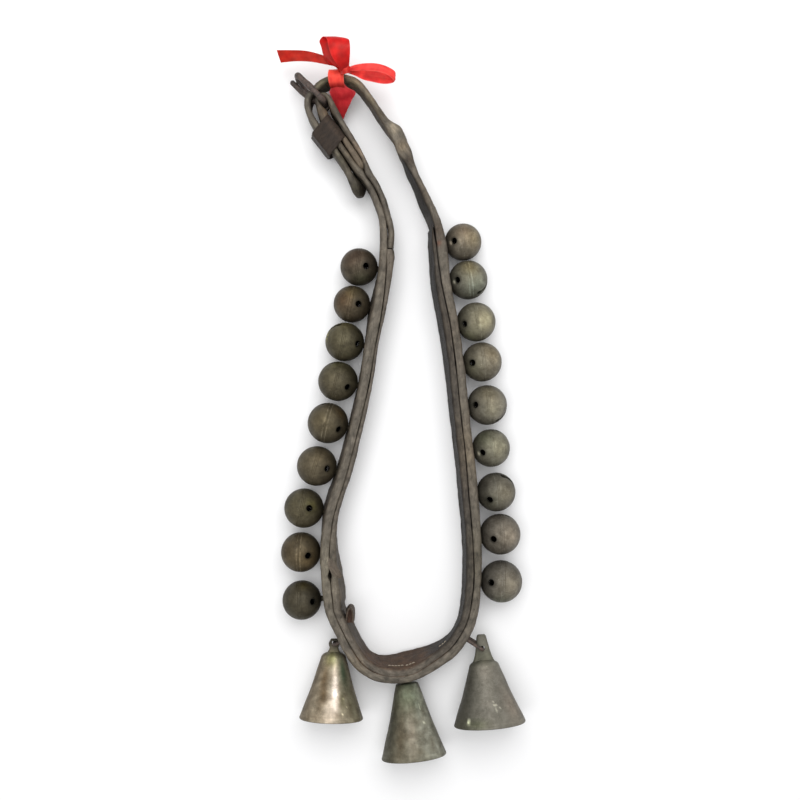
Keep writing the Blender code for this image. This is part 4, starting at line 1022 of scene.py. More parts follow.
RIGHT_LOOKS = (
    (
        (0.1, 0.05, 0.3, 1.2, 1.12, 0.98), (-0.1, 0.5, 0.6, 1.12, 1, 0.9),
        (0.6, 0.1, 0.6, 1.25, 1.2, 1),
    ),
    (
        (0.55, 0, 0.35, 1.12, 1.12, 0.98), (0, 0.6, 0.5, 1.35, 1.2, 0.85),
        (0.4, -0.5, 0.7, 1, 1.12, 1.1),
    ),
    (
        (0.28, 0.1, 0, 1.26, 1.24, 1.04), (0.4, 0.1, 0.7, 1.35, 1.32, 1.15),
        (-0.4, -0.8, 0.5, 0.9, 0.95, 0.8),
    ),
    (
        (0, 0.12, 0, 1.22, 1.16, 0.98), (0.5, 0.5, 0.5, 1.25, 1.15, 0.98),
        (-0.6, -0.4, 0.6, 0.84, 0.88, 0.8),
    ),
    ((0, 0.1, 0, 1.12, 1.1, 0.98), (0.2, -0.3, 0.45, 1.4, 1.4, 1.3), (0, 0.6, 0.6, 1, 0.94, 0.8)),
    (
        (0, 0.1, 0.15, 1.16, 1.16, 1), (0.4, 0.1, 0.7, 1.3, 1.3, 1.2),
        (-0.5, 0.6, 0.5, 0.9, 0.96, 0.85),
    ),
    (
        (0.05, 0, 0.25, 0.85, 0.83, 0.75), (0.5, 0.1, 0.6, 1.25, 1.22, 1.12),
        (-0.4, -0.5, 0.5, 0.86, 0.9, 0.82),
    ),
    (
        (0, 0.05, 0, 1.1, 1.04, 0.96), (0.4, 0, 0.6, 1.25, 1.2, 1.14),
        (-0.3, -0.7, 0.6, 0.84, 0.84, 0.82),
    ),
    (
        (0, 0.15, 0.3, 0.96, 0.93, 0.88), (0.4, 0, 0.7, 1.2, 1.16, 1.05),
        (0, -0.9, 0.5, 1, 1.12, 0.95),
    ),
)


# How the left bells and the right bells differ, being darker or more worn.
SIDE_SHADES = (np.array([0.68, 0.64, 0.64]), np.array([1.10, 1.15, 1.42]))
# Painted highlight and painted shade on the left and on the right bells: direction, size, change of
# brightness.
BELL_LIGHT_AND_SHADE = (
    (((-0.2, -0.25, 0.94), 0.45, 0.08), ((0.8, 0.15, 0.58), 0.66, -0.4)),
    (((0.5, -0.05, 0.86), 0.44, 0.6), ((-0.78, 0.15, 0.6), 0.72, -0.42)),
)
# Right bells with a painted light spot on the strap side of the upper sound hole, where light shows
# through the bell.
PAINTED_LIGHT_HOLES = (129.6, 98.4, -39.4)


def crotal_tint(bell, base, patches, points, local):
    """Bell colour and patches; painted shade towards the underside and the strap, a painted
    highlight, darker round the sound hole, and painted light where holes are seen through.
    """
    radius, side = bell.diameter / 2, bell.x > 0
    normal = (points - np.array([bell.x, bell.y, radius])) / radius
    tint = np.ones((len(points), 3)) * np.array(base) * SIDE_SHADES[side]
    for x, y, size, *colour in patches:
        spot = np.array([x, y, math.sqrt(max(0.05, 1 - x * x - y * y))])
        share = near(lengths(normal - unit(spot)), size)
        if max(colour) > 2:
            share *= np.clip(0.5 + 3.0 * wobble(points, 1.3, 8), 0, 1)[:, None]
        tint = tinted(tint, share, colour)
    # Painted shade: darker towards the underside.
    tint *= 0.36 + 0.72 * rise(normal[:, 2:], 0, 1) ** 0.8
    tint *= uneven(points, (0.30, 5, bell.y), (0.22, 1.8, bell.x))
    way = hole_way(bell)
    tint *= 1 - 0.5 * near(np.maximum(lengths(local - way * radius) - 2.4, 0), 1.5)
    # Painted highlight, and painted shade on the side towards the strap.
    for spot, size, change in BELL_LIGHT_AND_SHADE[side]:
        tint *= 1 + change * near(lengths(normal - np.array(spot)), size)
    # Painted light: a bright spot on the strap side of the sound hole.
    if bell.y in PAINTED_LIGHT_HOLES:
        spot = way * radius + np.array([way[2], 0.3, -way[0]]) * 3.4
        tint *= 1 + 9 * near(lengths(local - spot), 1.2)
    tint[(lengths(local) < radius - 0.4) & (local[:, 0] < radius)] *= 0.35
    return tint


def make_crotals(bronze, iron):
    throat = throat_cutter(NOMINAL_RADIUS, bronze)
    sides = (("left", LEFT_BELLS, LEFT_LOOKS), ("right", RIGHT_BELLS, RIGHT_LOOKS))
    for side, bells, looks in sides:
        for number, (bell, (look, *patches)) in enumerate(zip(bells, looks), 1):
            name = f"crotal_{side}_{number}"
            made, local, points = crotal("bell_" + name, bell, throat, bronze)
            paint(made, crotal_tint(bell, look[3:], patches, points, local),
                  **crotal_values(local, bell.diameter / 2, look[:3]))
            ride(made, name, name, slot="crotal_bronze")
            make_pellet(f"pellet_{side}_{number}", bell, iron)


def make_pellet(name, bell, iron):
    """A rough iron ball on the bell's floor."""
    low = (bell.diameter / 2 - CROTAL_WALL) * 0.9 - 4.8 - GAP
    bm = bmesh.new()
    bmesh.ops.create_icosphere(bm, subdivisions=3, radius=PELLET_RADIUS)
    points = np.array([v.co for v in bm.verts])
    faces = [tuple(v.index for v in f.verts) for f in bm.faces]
    bm.free()
    points *= uneven(points, (0.03, 2, 5))
    centre = np.array([bell.x, bell.y, bell.diameter / 2 - low])
    ride(joined("ball_" + name, [(points + centre, faces)], iron), name, name, slot="iron")


# ---------------------------------------------------------------- clapper bells


def hole_height(cone):
    pitch = math.radians(cone.pitch)
    return cone.radius * math.cos(pitch) - cone.mouth * math.sin(pitch) + GAP


def cone_matrix(cone):
    """Local -Z points at the mouth and local X lies level; millimetres."""
    flat, pitch = heading(cone.heading), math.radians(cone.pitch)
    side = Vector((-flat.y, flat.x, 0))
    up_axis = -(flat * math.cos(pitch) + UP * math.sin(pitch))
    turn = Matrix((side, up_axis.cross(side), up_axis)).transposed().to_4x4()
    return shift_by(cone.x, cone.y, hole_height(cone)) @ turn


def cone_profile(cone):
    """Closed (along, out) profile: outer side from the crown to the rim, then back up inside."""
    crown, mouth, wide, neck = cone.crown, cone.mouth, cone.radius, cone.shoulder
    start, end = np.array([-crown - 6.2, neck]), np.array([-mouth + 3.2, wide - 0.7])
    if cone.name == "middle":
        start = np.array([-4.2, 9.5])
        profile = [(-2.3, 0.0), (-2.35, 5.0), (-2.7, 8.0), (-3.3, 9.1)]
    else:
        profile = [(-crown, 0.0)]
        for turn in np.radians(np.linspace(12, 84, 9)):
            fall = 5.6 * (1 - math.cos(turn))
            profile.append((-crown - fall, neck * 0.98 * math.sin(turn) ** 0.85))
    for share in np.linspace(0, 1, 36):
        along, out = start + (end - start) * share
        out -= 0.5 * math.sin(math.pi * share) - 0.35 * math.sin(3 * math.pi * share) * 0.3
        profile.append((along, out))
    rim = ((2.2, 0.35), (1.3, 0), (0.5, 0), (0, 0.5), (0, 1.4), (0.5, CONE_WALL))
    profile += [(up - mouth, wide - inward) for up, inward in rim]
    start = np.array([-mouth + 2.0, wide - CONE_WALL - 0.1])
    end = np.array([-crown - 7.0, neck - 1.9])
    profile += [tuple(start + (end - start) * share) for share in np.linspace(0, 1, 16)]
    return profile + [(-crown - 3.6, neck * 0.6), (-crown - 2.6, 0.0)]


def cone_shell(cone):
    """The bell's wall about its own Z; lathe() turns about X."""
    points, faces = lathe(cone_profile(cone), 128)
    return np.roll(points, -1, axis=1), [f[:1] + f[:0:-1] for f in faces]


def tab_shape(cone):
    """Rounded plate rings from inside the crown up to the tab's end."""
    low, high = -cone.crown - 1.6, cone.tab_end
    rings = []
    for share in np.linspace(0, 1, 22):
        z = low + (high - low) * share
        half = cone.tab_wide + (cone.tab_tip - cone.tab_wide) * share + 1.6 * (1 - share) ** 6
        if cone.name == "left":
            eye = math.sqrt(max(0.0, 4.4**2 - (z + 0.5) ** 2))
            half = max(3.1 + 3.0 * (1 - share) ** 4, eye)
        pinch = 0.7 * max(0.0, share - 0.94) / 0.06
        thick = 2.5 + 1.1 * (1 - share) ** 5 - pinch
        half -= pinch
        ring = []
        for k in range(32):
            turn = 2 * math.pi * (k + 0.5) / 32
            c, s = (math.copysign(abs(v) ** 0.42, v) for v in (math.cos(turn), math.sin(turn)))
            ring.append((half * c, thick * s, z))
        rings.append(ring)
    return closed_grid(np.array(rings))


# Base colour, then patches: height share, share across, sizes along and across, colour. The three
# strongly bright patches on the left cone make a painted highlight stripe; the bright patches on
# the middle cone are partly its own tone and partly painted highlight.
CONE_LOOKS = {
    "left": (
        (1.62, 1.44, 1.26),
        (
            (0.3, 0.16, 0.3, 0.18, 2.8, 2.9, 3.3), (0.58, 0.24, 0.22, 0.13, 2.5, 2.5, 2.8),
            (0.85, 0, 0.25, 0.2, 2.5, 2.5, 2.8), (0.85, -0.42, 0.2, 0.26, 1.08, 1.04, 1.02),
            (0.1, -0.1, 0.1, 0.45, 1.1, 1.2, 0.8), (0.5, -0.88, 0.9, 0.18, 0.5, 0.46, 0.42),
            (0.28, 0.66, 0.26, 0.22, 0.22, 0.36, 0.3), (0.75, 0.8, 0.4, 0.24, 0.62, 0.66, 0.6),
            (0.68, 0.46, 0.16, 0.12, 0.66, 0.7, 0.6), (0.4, -0.4, 0.2, 0.2, 0.74, 0.62, 0.5),
            (0.62, -0.3, 0.12, 0.14, 0.72, 0.62, 0.5), (0.02, 0, 0.1, 1, 0.55, 0.58, 0.5),
            (-0.15, 0, 0.12, 2, 0.03, 0.03, 0.03),
        ),
    ),
    "middle": (
        (1.04, 1.04, 0.96),
        (
            (0.14, 0, 0.2, 0.8, 0.86, 1.02, 0.9), (0.6, 0.02, 0.35, 0.2, 1.45, 1.34, 1.36),
            (0.6, 0.4, 0.45, 0.12, 1.3, 1.32, 1.36), (0.55, 0.74, 0.9, 0.26, 1.72, 1.78, 1.9),
            (0.7, -0.45, 0.4, 0.25, 0.84, 0.74, 0.66), (0.5, -0.82, 0.9, 0.28, 0.4, 0.4, 0.37),
            (0, 0, 0.06, 1, 0.5, 0.54, 0.5),
        ),
    ),
    "right": (
        (0.98, 0.98, 1),
        (
            (0.55, -0.1, 0.9, 0.24, 1.26, 1.24, 1.26), (0.55, 0.55, 0.6, 0.35, 1.12, 1.1, 1.12),
            (0.7, 0.8, 0.25, 0.25, 1.3, 1.18, 1.12), (0.12, 0, 0.16, 0.6, 1.3, 1.27, 1.27),
            (0.5, -0.8, 0.9, 0.28, 0.48, 0.48, 0.47), (0.92, -0.45, 0.08, 0.35, 0.85, 0.92, 0.74),
            (-0.05, 0, 0.12, 2, 0.8, 0.84, 0.74),
        ),
    ),
}
# Pale spots: height share, share across, sizes along and across.
PALE_SPOTS = {
    "left": ((0.66, 0.5, 0.012, 0.03), (0.78, 0.6, 0.012, 0.03), (0.88, 0.44, 0.012, 0.04)),
    "middle": ((0.3, 0.6, 0.03, 0.016), (0.52, 0.62, 0.012, 0.05), (0.36, 0.45, 0.01, 0.02)),
    "right": (
        (0.86, -0.66, 0.04, 0.03), (0.9, -0.66, 0.03, 0.045), (0.66, 0.2, 0.02, 0.06),
        (0.73, 0.18, 0.03, 0.02), (0.7, 0.34, 0.014, 0.02), (0.62, 0.14, 0.01, 0.035),
    ),
}


def cone_tint(cone, local, matrix):
    base, patches = CONE_LOOKS[cone.name]
    height = (-local[:, 2] - cone.crown) / (cone.mouth - cone.crown)
    out = np.hypot(local[:, 0], local[:, 1])
    across = local[:, 0] / np.maximum(out, 1.0)
    up = (local * np.array([1, 1, 0])) @ np.array(matrix.to_3x3()).T
    up = up[:, 2] / np.maximum(out, 1.0)
    tint = np.ones((len(local), 3)) * np.array(base)
    for place, side, long, wide, *colour in patches:
        share = near(np.hypot((height - place) / long, (across - side) / wide), 1.0)
        tint = tinted(tint, share * (up > -0.2)[:, None], colour)
    # Painted shade: darker where the wall faces down.
    tint *= (0.58 + 0.42 * rise(up, -0.3, 1))[:, None]
    depth = 0.10 if cone.name == "right" else 0.45
    tint *= uneven(local, (depth, 5, 51)) ** np.array([0.9, 1.0, 1.12])
    tint *= uneven(local, (0.6 * depth, 2, 52))
    rough = 1 + 0.7 * wobble(local, 1.6, 3)
    for place, side, long, wide in PALE_SPOTS[cone.name]:
        gap = ((height - place) / long) ** 2 + ((across - side) / wide) ** 2
        share = (np.clip(1.6 - gap * rough, 0, 1) * (up > 0))[:, None]
        tint *= 1 + share * np.array([1.5, 1.55, 1.5]) * (1.0 if place < 0.85 else 1.6)
    down = (-local[:, 2] - cone.crown - 6) / (cone.mouth - cone.crown - 9)
    wall = cone.shoulder + (cone.radius - cone.shoulder) * down
    tint[(out < wall - 1.3) & (-local[:, 2] > cone.crown + 6.5)] *= 0.30
    return tint


def make_cones(bronze, iron):
    for cone in CONES:
        matrix = cone_matrix(cone)
        name = "cone_bell_" + cone.name
        made = uncut("clapper_bell_" + cone.name, [cone_shell(cone)])
        boolean(made, uncut("tab", [tab_shape(cone)]), "UNION")
        hole = rod_shape(TAB_HOLE, (0, -8, 0), (0, 8, 0), 32)
        boolean(made, uncut("cutter", [hole]), "DIFFERENCE")
        local = np.array([v.co for v in made.data.vertices]) / MM
        dents = 0.16 * wobble(local, 9.0, 7)[:, None] * (local * np.array([1, 1, 0])) / 20.0
        stand(made, local + dents, matrix, bronze, 35, 0.05)
        x, y, z = local.T
        # A faint turned line just above the mouth.
        scribe = 0.12 * np.exp(-(((z + cone.mouth - 3.4) / 0.5) ** 2))
        turned = np.stack([z, 18 * np.arctan2(y, x), z * 0], 1)
        paint(made, cone_tint(cone, local, matrix), lathe=turned, scribe=scribe)
        ride(made, name, name, slot="cone_bronze")
        make_clapper(cone, matrix, iron)


def clapper_rest(cone):
    rise = cone.mouth - 1.6 - (cone.crown + 6.0)
    flare = math.atan2(cone.radius - 0.5 - cone.shoulder, rise)
    at_pin = cone.shoulder + (PIN_DEPTH - 6.0) * math.tan(flare) - CONE_WALL
    spare = at_pin * math.cos(flare) - CLAPPER_BALL - 3 * GAP
    return flare + math.asin(spare / CLAPPER_LONG), at_pin


def make_clapper(cone, matrix, iron):
    """Pin through the bell, and a clapper lying on the lower wall."""
    rest, at_pin = clapper_rest(cone)
    pin_z = -cone.crown - PIN_DEPTH
    half = at_pin + 0.2
    pin = rounded_rod([(x, 0, pin_z) for x in (-half, 0, half)], PIN_RADIUS, rough=0.05)
    made = joined("pin_" + cone.name, [moved(pin, matrix)], iron)
    ride(made, "cone_bell_" + cone.name, "clapper_pin_" + cone.name, slot="iron")
    lowered = matrix.to_3x3().inverted() @ -UP
    lean = Matrix.Rotation(rest if lowered.y > 0 else -rest, 4, "X")
    turn = matrix @ shift_by(0, 0, pin_z) @ lean
    loop = [(0, y, z) for y, z in closed_circle(33, 2.75)]
    stem = [(0, 0, z) for z in (-3.2, -12, -22, -CLAPPER_LONG + 2)]
    bulb = []
    for t in np.linspace(0.02, math.pi - 0.02, 22):
        out, up = CLAPPER_BALL * math.sin(t), CLAPPER_BALL * math.cos(t)
        bulb.append([(x, y, up - CLAPPER_LONG) for x, y in circle(32, out)])
    grids = (
        tube_rings(loop, 0.95, 12, 0.05, 2), tube_rings(stem, [1.6, 1.35, 1.4, 2.1], 16, 0.08, 4),
        np.array(bulb),
    )
    name = "clapper_" + cone.name
    made = joined(name + "_iron", [moved(closed_grid(g), turn) for g in grids], iron)
    ride(made, name, name, slot="iron")


# ---------------------------------------------------------------- links, wires and buckle


def nearest_station(cone):
    read = smooth(body_stations(False), 2.0)
    gap = np.hypot(read[:, 0] - cone.x, read[:, 1] - cone.y)
    return read[int(np.argmin(gap))]


def closed_circle(count, radius):
    """So many points round a circle, the last on the first."""
    turns = np.linspace(0, 2 * math.pi, count)
    return [(radius * math.cos(t), radius * math.sin(t)) for t in turns]


def make_links(iron):
    """Wire staples from the tabs' holes into the strap."""
    corner = [(2.4 * (1 - math.sin(t)), 2.4 * (1 - math.cos(t)))
              for t in np.radians(np.linspace(0, 90, 7))]
    for cone in CONES:
        station = nearest_station(cone)
        reach = math.hypot(station[0] - cone.x, station[1] - cone.y)
        inward = np.array([station[0] - cone.x, station[1] - cone.y, 0.0]) / reach
        low = max(hole_height(cone) - 6.5, 2.2)
        route = []
        for height, way in ((low, 1), (low + 13.0, -1)):
            lean = math.tan(math.radians(station[2])) * (height - station[6])
            bends = [(out, height + way * up) for out, up in corner]
            route += [(reach - lean + 2.8, height), (3.0, height), *bends][::way]
        base = np.array([cone.x, cone.y, 0.0])
        path = [base + inward * out + np.array([0, 0, z]) for out, z in route]
        shape = rounded_rod(path, STAPLE_RADIUS, around=16, rough=0.10, seed=6)
        made = joined("staple_" + cone.name, [shape], iron)
        ride(made, "strap", "link_" + cone.name, slot="iron")


def make_wires(iron):
    for side, bells in (("left", LEFT_BELLS), ("right", RIGHT_BELLS)):
        eyes = [np.array(shank_point(bell, BODY_THICK + EYE_DEPTH)) for bell in bells]
        first = eyes[0] + (eyes[0] - eyes[1]) * 0.2
        last = eyes[-1] + (eyes[-1] - eyes[-2]) * 0.12
        path = smooth([first, *eyes, last], 3.0)
        made = joined("wire_" + side, [rounded_rod(path, WIRE_RADIUS, around=10)], iron)
        ride(made, "strap", "shank_wire_" + side, slot="iron")


FRAME_HEADING = 136.0


def make_buckle(iron):
    long, high, bend = 28.6, 15.0, 4.6
    far, top = long - bend, high - bend
    path = [(0.0, 0.0, 0.0)]
    for x, z, start in ((bend, -top, 180), (far, -top, 270), (far, top, 0), (bend, top, 90)):
        for turn in np.radians(start + np.linspace(0, 90, 8)):
            path.append((x + bend * math.cos(turn), 0, z + bend * math.sin(turn)))
    path = smooth([*path, path[0]], 1.2)
    thick = 2.55 + 0.22 * np.cos(path[:, 0] * 0.42)
    frame = closed_grid(tube_rings(path, thick, 24, 0.16, 9))
    ring = tube_rings([(x, y, 0.0) for x, y in closed_circle(41, 4.05)], 1.05, 16, 0.08, 3)
    ring[..., 2] *= 1.85
    route = smooth([(3.9, 1.6, 0), (9.0, 3.4, 0), (18.0, 5.0, 0), (31.0, 5.0, 0)], 1.5)
    tongue = [closed_grid(ring), rounded_rod(route, TONGUE_RADIUS, around=20, rough=0.14, seed=12)]
    place = shift_by(*BUCKLE_BAR, BUCKLE_Z) @ turn_about("Z", FRAME_HEADING)
    for name, shapes in (("frame", [frame]), ("tongue", tongue)):
        made = joined(name + "_iron", [moved(s, place) for s in shapes], iron)
        ride(made, "buckle_" + name, "buckle_" + name, slot="iron")


# ---------------------------------------------------------------- keeper

KEEPER_AT = (-57.4, 213.5)
KEEPER_HEADING = -51.0
KEEPER_LONG = 23.0
KEEPER_ACROSS = 21.0
KEEPER_HIGH = 28.4
# x, y and thickness of the tail that is sewn in between the straps.
KEEPER_TAIL = ((-45.6, 211.7, 4), (-40.3, 203.7, 5.2), (-34, 193.9, 5), (-29.8, 186.6, 4))


def rounded_loop(inset, radii):
    """Points round the keeper's section, whose four corners have their own radii."""
    points = []
    corners = ((1, 1, 0), (-1, 1, 90), (-1, -1, 180), (1, -1, 270))
    for (a, b, start), radius in zip(corners, radii):
        for turn in np.radians(start + np.linspace(0, 90, 9)):
            points.append((a * (KEEPER_ACROSS / 2 - inset - radius) + radius * math.cos(turn),
                           b * (KEEPER_HIGH / 2 - inset - radius) + radius * math.sin(turn)))
    around = np.array([*points, points[0]])
    length = run_length(around)
    want = np.linspace(0, length[-1], 96, endpoint=False)
    return np.stack([np.interp(want, length, around[:, k]) for k in range(2)], 1)


def keeper_loop():
    """A box loop folded from one strip, as rows of rings that close on the first one."""
    outer = rounded_loop(0.0, (5.6, 2.2, 2.6, 3.4))
    inner = rounded_loop(2.0, (3.6, 0.8, 0.9, 1.6))
    half = KEEPER_LONG / 2
    places = np.linspace(-half + 0.7, half - 0.7, 25)
    arc = [(0.9 * math.sin(t), (1 - math.cos(t)) / 2) for t in np.radians([30, 60, 90, 120, 150])]
    rows = [(u, outer * (1 + 0.25 * math.cos(u / half * math.pi / 2) / 14.0)) for u in places]
    rows += [(half - 0.7 + out, outer * (1 - share) + inner * share) for out, share in arc]
    rows += [(u, inner) for u in places[::-1]]
    rows += [(0.7 - half - out, inner * (1 - share) + outer * share) for out, share in arc]
    grid = np.array([[(u, v, z) for v, z in ring] for u, ring in rows])
    around = grid.shape[1]
    last = (len(rows) - 1) * around
    faces = ring_faces(len(rows), around)
    faces += [(last + j, last + (j + 1) % around, (j + 1) % around, j) for j in range(around)]
    return grid.reshape(-1, 3), faces


def make_keeper(leather):
    """The box loop, its edges rounded, with the tail that is sewn in."""
    points, faces = keeper_loop()
    x, y, z = points.T
    skew = points + np.stack([
        -0.22 * y * np.clip(z / 12, -1, 1) + 0.5 * wobble(points, 9.0, 21),
        0.45 * wobble(points, 8.0, 22) - 0.02 * x,
        (0.35 * wobble(points, 7.0, 23) + 0.12 * wobble(points, 2.2, 24)) * (z > -8),
    ], 1)
    place = shift_by(*KEEPER_AT, BUCKLE_Z) @ turn_about("Z", KEEPER_HEADING)
    loop = moved((skew, faces), place)
    read = smooth([plain_station(x, y, thick, high=22.0) for x, y, thick in KEEPER_TAIL], 1.5)
    read[-3:, 5] *= np.array([0.96, 0.86, 0.66])
    tail, tail_rim, tail_grain = strap_layer(read, (1.5, 1.5), 0.4, 0.8, 31)
    made = joined("keeper_leather", [loop, tail], leather)
    edge = rise(np.abs(x), KEEPER_LONG / 2 - 1.4, 1.4) ** 2
    rim = np.maximum(edge, (z > KEEPER_HIGH / 2 - 4) * 0.35)
    # Painted shade lower down, a painted highlight along the ridge, and lighter beyond the ridge.
    shade = 0.62 + 0.38 * rise(loop[0][:, 2], 4, 26)
    shade *= 1 + 0.6 * near(y - 5.2, 1.6)[:, 0] * (z > 8)
    shade *= 1 + 0.25 * (y > 6.5) * (z > 6)
    tail_tint = np.ones((len(tail_rim), 3)) * np.array([1.15, 1.04, 0.92])
    paint(made, np.vstack([shade[:, None] * np.array([0.24, 0.185, 0.16]), tail_tint]),
          rim=np.append(rim, tail_rim),
          grain=np.vstack([np.stack([y * 1.2, x, z], 1), tail_grain]))
    ride(made, "strap", "keeper_loop", slot="outer_leather")


# ---------------------------------------------------------------- ribbon

RIBBON_THICK = 0.45
# Each band: stations of x, y, z and half width vector, whose z is 0 where it is left out; cup
# across the band, shade, wrinkle depth.
RIBBON_BANDS = {
    "left_tail": (
        (
            (-52.6, 269.8, 34.4, 1.4, -3.2, 0.4), (-56, 271.4, 33.4, 1, -3.5, 0.2),
            (-61.6, 273.1, 32.5, 0.5, -3.6), (-69.3, 275.5, 31, 0.6, -4),
            (-76.5, 277.1, 29.5, 0.7, -4.3), (-87.7, 278.2, 27, 1, -4.6),
            (-98.3, 278.8, 24, 1.7, -5.1),
        ),
        0.35, (0.56, 0.44, 0.25), 0.3,
    ),
    "upper_loop": (
        (
            (-43.8, 261.9, 37.5, 2.6, 0.7), (-44.4, 264.9, 40, 4, 0.5),
            (-45.6, 268.2, 43.5, 5.8, 0.7), (-46.9, 273.4, 46.5, 7.6, 1),
            (-47.8, 278.6, 48, 8.5, 0.5), (-48.8, 283.7, 46.6, 8.7, -0.3),
            (-51.3, 286, 44, 9.4, -0.7), (-54.7, 284.9, 41, 9.2, 0), (-56.3, 280.1, 39, 6.4, -0.8),
            (-56, 274.1, 37.5, 5, -0.5), (-53.1, 268.6, 37, 3.9, -0.2),
            (-47.5, 264, 37.5, 1.8, -0.2),
        ),
        -0.8, (0.78, 0.33, 0.41), 0.6,
    ),
    "right_loop": (
        (
            (-40.9, 263.6, 37.5, 0.1, -1.7), (-34.8, 263.8, 40.5, 0, -2.3),
            (-26.3, 263.7, 42.6, 0, -2.8), (-17.6, 263.1, 42.6, -0.2, -3),
            (-10.5, 261.4, 41, -0.5, -3), (-5.6, 259.2, 38.4, -0.7, -3.2),
            (-4.2, 257.8, 35.4, -0.4, -3.3), (-6.8, 257.8, 32.8, -0.3, -3.7),
            (-12.5, 258.6, 31.6, -0.2, -4.7), (-20.7, 259.8, 31.6, -0.1, -4.5),
            (-29.4, 260.9, 32.6, -0.1, -3.8), (-35.6, 261.7, 34.4, 0, -2.3),
            (-40.9, 262.1, 36.4, 0, -1.5),
        ),
        -0.7, (1.18, 1.8, 2.05), 0.5,
    ),
    "lower_tail": (
        (
            (-50.4, 255.6, 30, 5, 0), (-49, 252.2, 28.4, 6.6, 0), (-46.6, 249.2, 26.2, 10.5, 0.1),
            (-46.9, 244.8, 21, 7.9, 0), (-47, 239.2, 16.5, 4.6, 0), (-47, 234.5, 13, 1.8, 0),
            (-46.9, 231.8, 11.5, 0.5, 0),
        ),
        0.6, (0.68, 0.8, 1.3), 0.4,
    ),
    "wrap": (
        (
            (-50.3, 266.2, 18, 5.4, 0.5), (-50.4, 266.7, 26, 5.8, 0.8),
            (-51, 265.6, 32.4, 6.2, 0.8, 0.2), (-51.4, 260.6, 34.4, 6.4, 0.6, 0.2),
            (-51.2, 256.4, 33.4, 6.2, 0.4, 0.2), (-50.6, 252.6, 31, 5.8, 0.2),
            (-50.2, 252.2, 20, 5.4, 0.2), (-50.2, 254.4, 9, 5, 0.4), (-50.2, 259, 4.6, 5, 0.4),
            (-50.2, 263.8, 5.4, 5, 0.4), (-50.2, 265.8, 10, 5.1, 0.4),
        ),
        -0.4, (1.04, 1.75, 1.5), 0.4,
    ),
    "knot": (
        (
            (-49.6, 263.6, 34.4, 1.6, -2.4), (-48.2, 262.9, 37.8, 1.4, -3.2),
            (-45.4, 262.4, 40, 0.8, -3.6), (-42.4, 262.4, 40.8, 0.3, -3.2),
            (-40, 262.6, 39.4, 0, -2.6), (-39, 262.8, 36, 0, -2),
        ),
        0.9, (0.72, 0.8, 0.8), 0.5,
    ),
}


def band_shape(stations, cup, wrinkle, seed, thick=RIBBON_THICK):
    """A thin band, cupped and softly wrinkled; then as strap_layer()."""
    read = smooth([(*station, 0.0)[:6] for station in stations], 1.1)
    middle, half = read[:, :3], read[:, 3:]
    face = unit(np.cross(np.gradient(middle, axis=0), half))
    along = run_length(middle)
    shares = np.linspace(-1, 1, 17)
    lines = []
    for share in shares:
        line = middle + half * share + face * (cup * (1 - share * share))
        folds = np.stack([along * 0.5, np.full(len(along), share * 5.0), along * 0], 1)
        lines.append(line + face * (wobble(folds, 4.0, seed) * wrinkle)[:, None])
    lift = face * thick / 2
    rings = np.stack([line + lift for line in lines] + [line - lift for line in lines[::-1]], 1)
    across = np.array([*shares, *shares[::-1]])
    size = lengths(half)[:, None]
    grain = np.stack([np.broadcast_to(along[:, None], rings.shape[:2]), across * size,
                      np.zeros(rings.shape[:2])], -1)
    rim = np.tile(rise(np.abs(across), 0.86, 0.1), len(rings))
    return closed_grid(rings), np.append(rim, [0.0, 0.0]), capped(grain)


def ribbon_tint(name, points):
    """Random tone, and painted shade: darker near the knot, on the lower part of the upper loop and
    on the lower part of the wrap.
    """
    tint = np.ones((len(points), 3)) * uneven(points, (0.35, 5, 9))
    # Painted shade near the knot.
    if name in ("upper_loop", "right_loop", "lower_tail"):
        knot = lengths(points[:, :2] - np.array([-43.5, 263.0]))
        tint *= (0.62 + 0.38 * rise(knot, 0, 9))[:, None]
    # Painted shade on the lower part of the upper loop.
    if name == "upper_loop":
        back = rise(points[:, 2], 42.5, -4) * (points[:, 1] < 284)
        tint *= (1 - 0.30 * back)[:, None]
    # Painted shade on the lower part of the wrap.
    if name == "wrap":
        low = rise(points[:, 1], 255.6, -2)[:, None]
        tint *= 1 - low * np.array([0.45, 0.62, 0.55])
    return tint


def make_ribbon(satin):
    shapes, rims, grains, tints = [], [], [], []
    for seed, (name, (stations, cup, shade, wrinkle)) in enumerate(RIBBON_BANDS.items(), 40):
        shape, rim, grain = band_shape(stations, cup, wrinkle, seed)
        tints.append(ribbon_tint(name, shape[0]) * np.array(shade))
        for pile, item in ((shapes, shape), (rims, rim), (grains, grain)):
            pile.append(item)
    made = joined("ribbon", shapes, satin)
    paint(made, np.vstack(tints), grain=np.vstack(grains), rim=np.concatenate(rims))
    ride(made, "strap", "ribbon_knot", "ribbon_upper_loop", "ribbon_right_loop", "ribbon_left_tail",
         "ribbon_lower_tail", slot="satin")


# ---------------------------------------------------------------- stage


def make_stage():
    corners = [(-3000, -3000, 0), (3000, -3000, 0), (3000, 3000, 0), (-3000, 3000, 0)]
    floor = linked("floor", new_mesh("floor", corners, [(0, 1, 2, 3)]))
    finish = Finish("floor")
    finish.finish_with((0.93, 0.93, 0.935, 1), 0.9, Specular_IOR_Level=0.1)
    floor.data.materials.append(finish.material)


def add_area(name, place, aim, size, power):
    data = bpy.data.lights.new(name, "AREA")
    data.shape = "RECTANGLE"
    data.size, data.size_y = size
    data.energy = power
    made = linked(name, data)
    made.location = place
    run = Vector(aim) - Vector(place)
    made.rotation_euler = run.to_track_quat("-Z", "Y").to_euler()


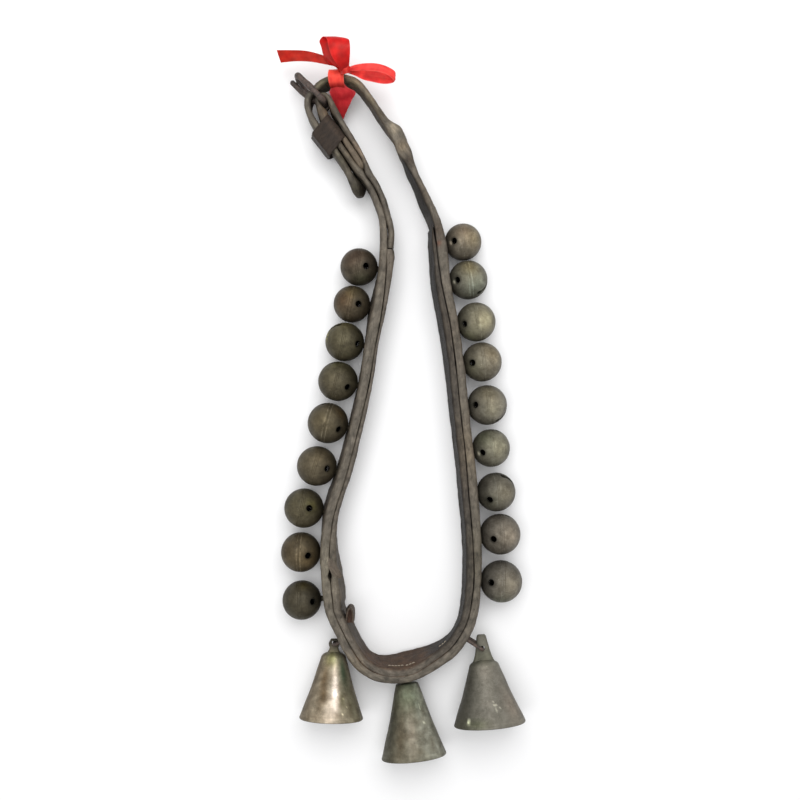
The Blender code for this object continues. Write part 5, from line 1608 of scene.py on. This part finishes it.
def make_lights():
    scene = bpy.context.scene
    scene.view_settings.view_transform = "Standard"
    scene.world = bpy.data.worlds.new("world")
    scene.world.use_nodes = True
    sky = scene.world.node_tree.nodes["Background"]
    sky.inputs["Color"].default_value = (1, 1, 1, 1)
    sky.inputs["Strength"].default_value = SKY_STRENGTH
    add_area("key", (0.10, 0.60, 1.10), (0, -0.02, 0), (1.1, 0.7), KEY_WATTS)
    add_area("fill", (-0.25, -0.10, 1.30), (0, -0.05, 0), (0.9, 1.1), FILL_WATTS)


def make_camera():
    data = bpy.data.cameras.new("camera")
    made = linked("camera", data)
    made.location = (SHIFT.x * MM, SHIFT.y * MM, CAMERA_HEIGHT)
    made.rotation_euler = (0, 0, 0)
    data.sensor_width = SENSOR_WIDTH
    data.lens = FOCAL_LENGTH
    data.clip_start = 0.02
    bpy.context.scene.camera = made


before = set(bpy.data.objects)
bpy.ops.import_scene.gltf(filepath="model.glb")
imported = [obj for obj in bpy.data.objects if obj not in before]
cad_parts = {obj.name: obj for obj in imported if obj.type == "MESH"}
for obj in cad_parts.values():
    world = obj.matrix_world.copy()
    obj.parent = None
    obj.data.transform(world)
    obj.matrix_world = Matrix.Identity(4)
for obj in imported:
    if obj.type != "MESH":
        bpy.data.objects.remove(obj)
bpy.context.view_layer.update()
make_camera()
make_stage()
make_lights()
OUTER_LEATHER = leather_finish(
    "old_leather", (0.066, 0.053, 0.040), (0.118, 0.099, 0.076), (0.195, 0.172, 0.137))
LINER_LEATHER = leather_finish(
    "liner_leather", (0.058, 0.045, 0.035), (0.108, 0.089, 0.069), (0.185, 0.160, 0.127))
BRONZE = bronze_finish(
    "crotal_bronze", (0.070, 0.060, 0.041), (0.112, 0.099, 0.069), (0.185, 0.170, 0.124),
    (0.60, 0.57, 0.46), 0.28, 0.40, 0.56)
CONE_BRONZE = bronze_finish(
    "cone_bronze", (0.085, 0.080, 0.062), (0.140, 0.132, 0.104), (0.225, 0.212, 0.172),
    (0.46, 0.43, 0.34), 0.14, 0.46, 0.62)
IRON = iron_finish("old_iron", (0.036, 0.028, 0.024), (0.115, 0.080, 0.064), 0.30)
THREAD = thread_finish("old_thread", (0.34, 0.29, 0.22))
SATIN = satin_finish("red_satin")
LINER = make_straps(OUTER_LEATHER, LINER_LEATHER)
make_scraps(LINER_LEATHER)
make_stitches(LINER, THREAD)
make_crotals(BRONZE, IRON)
make_cones(CONE_BRONZE, IRON)
make_links(IRON)
make_wires(IRON)
make_buckle(IRON)
make_keeper(OUTER_LEATHER)
make_ribbon(SATIN)
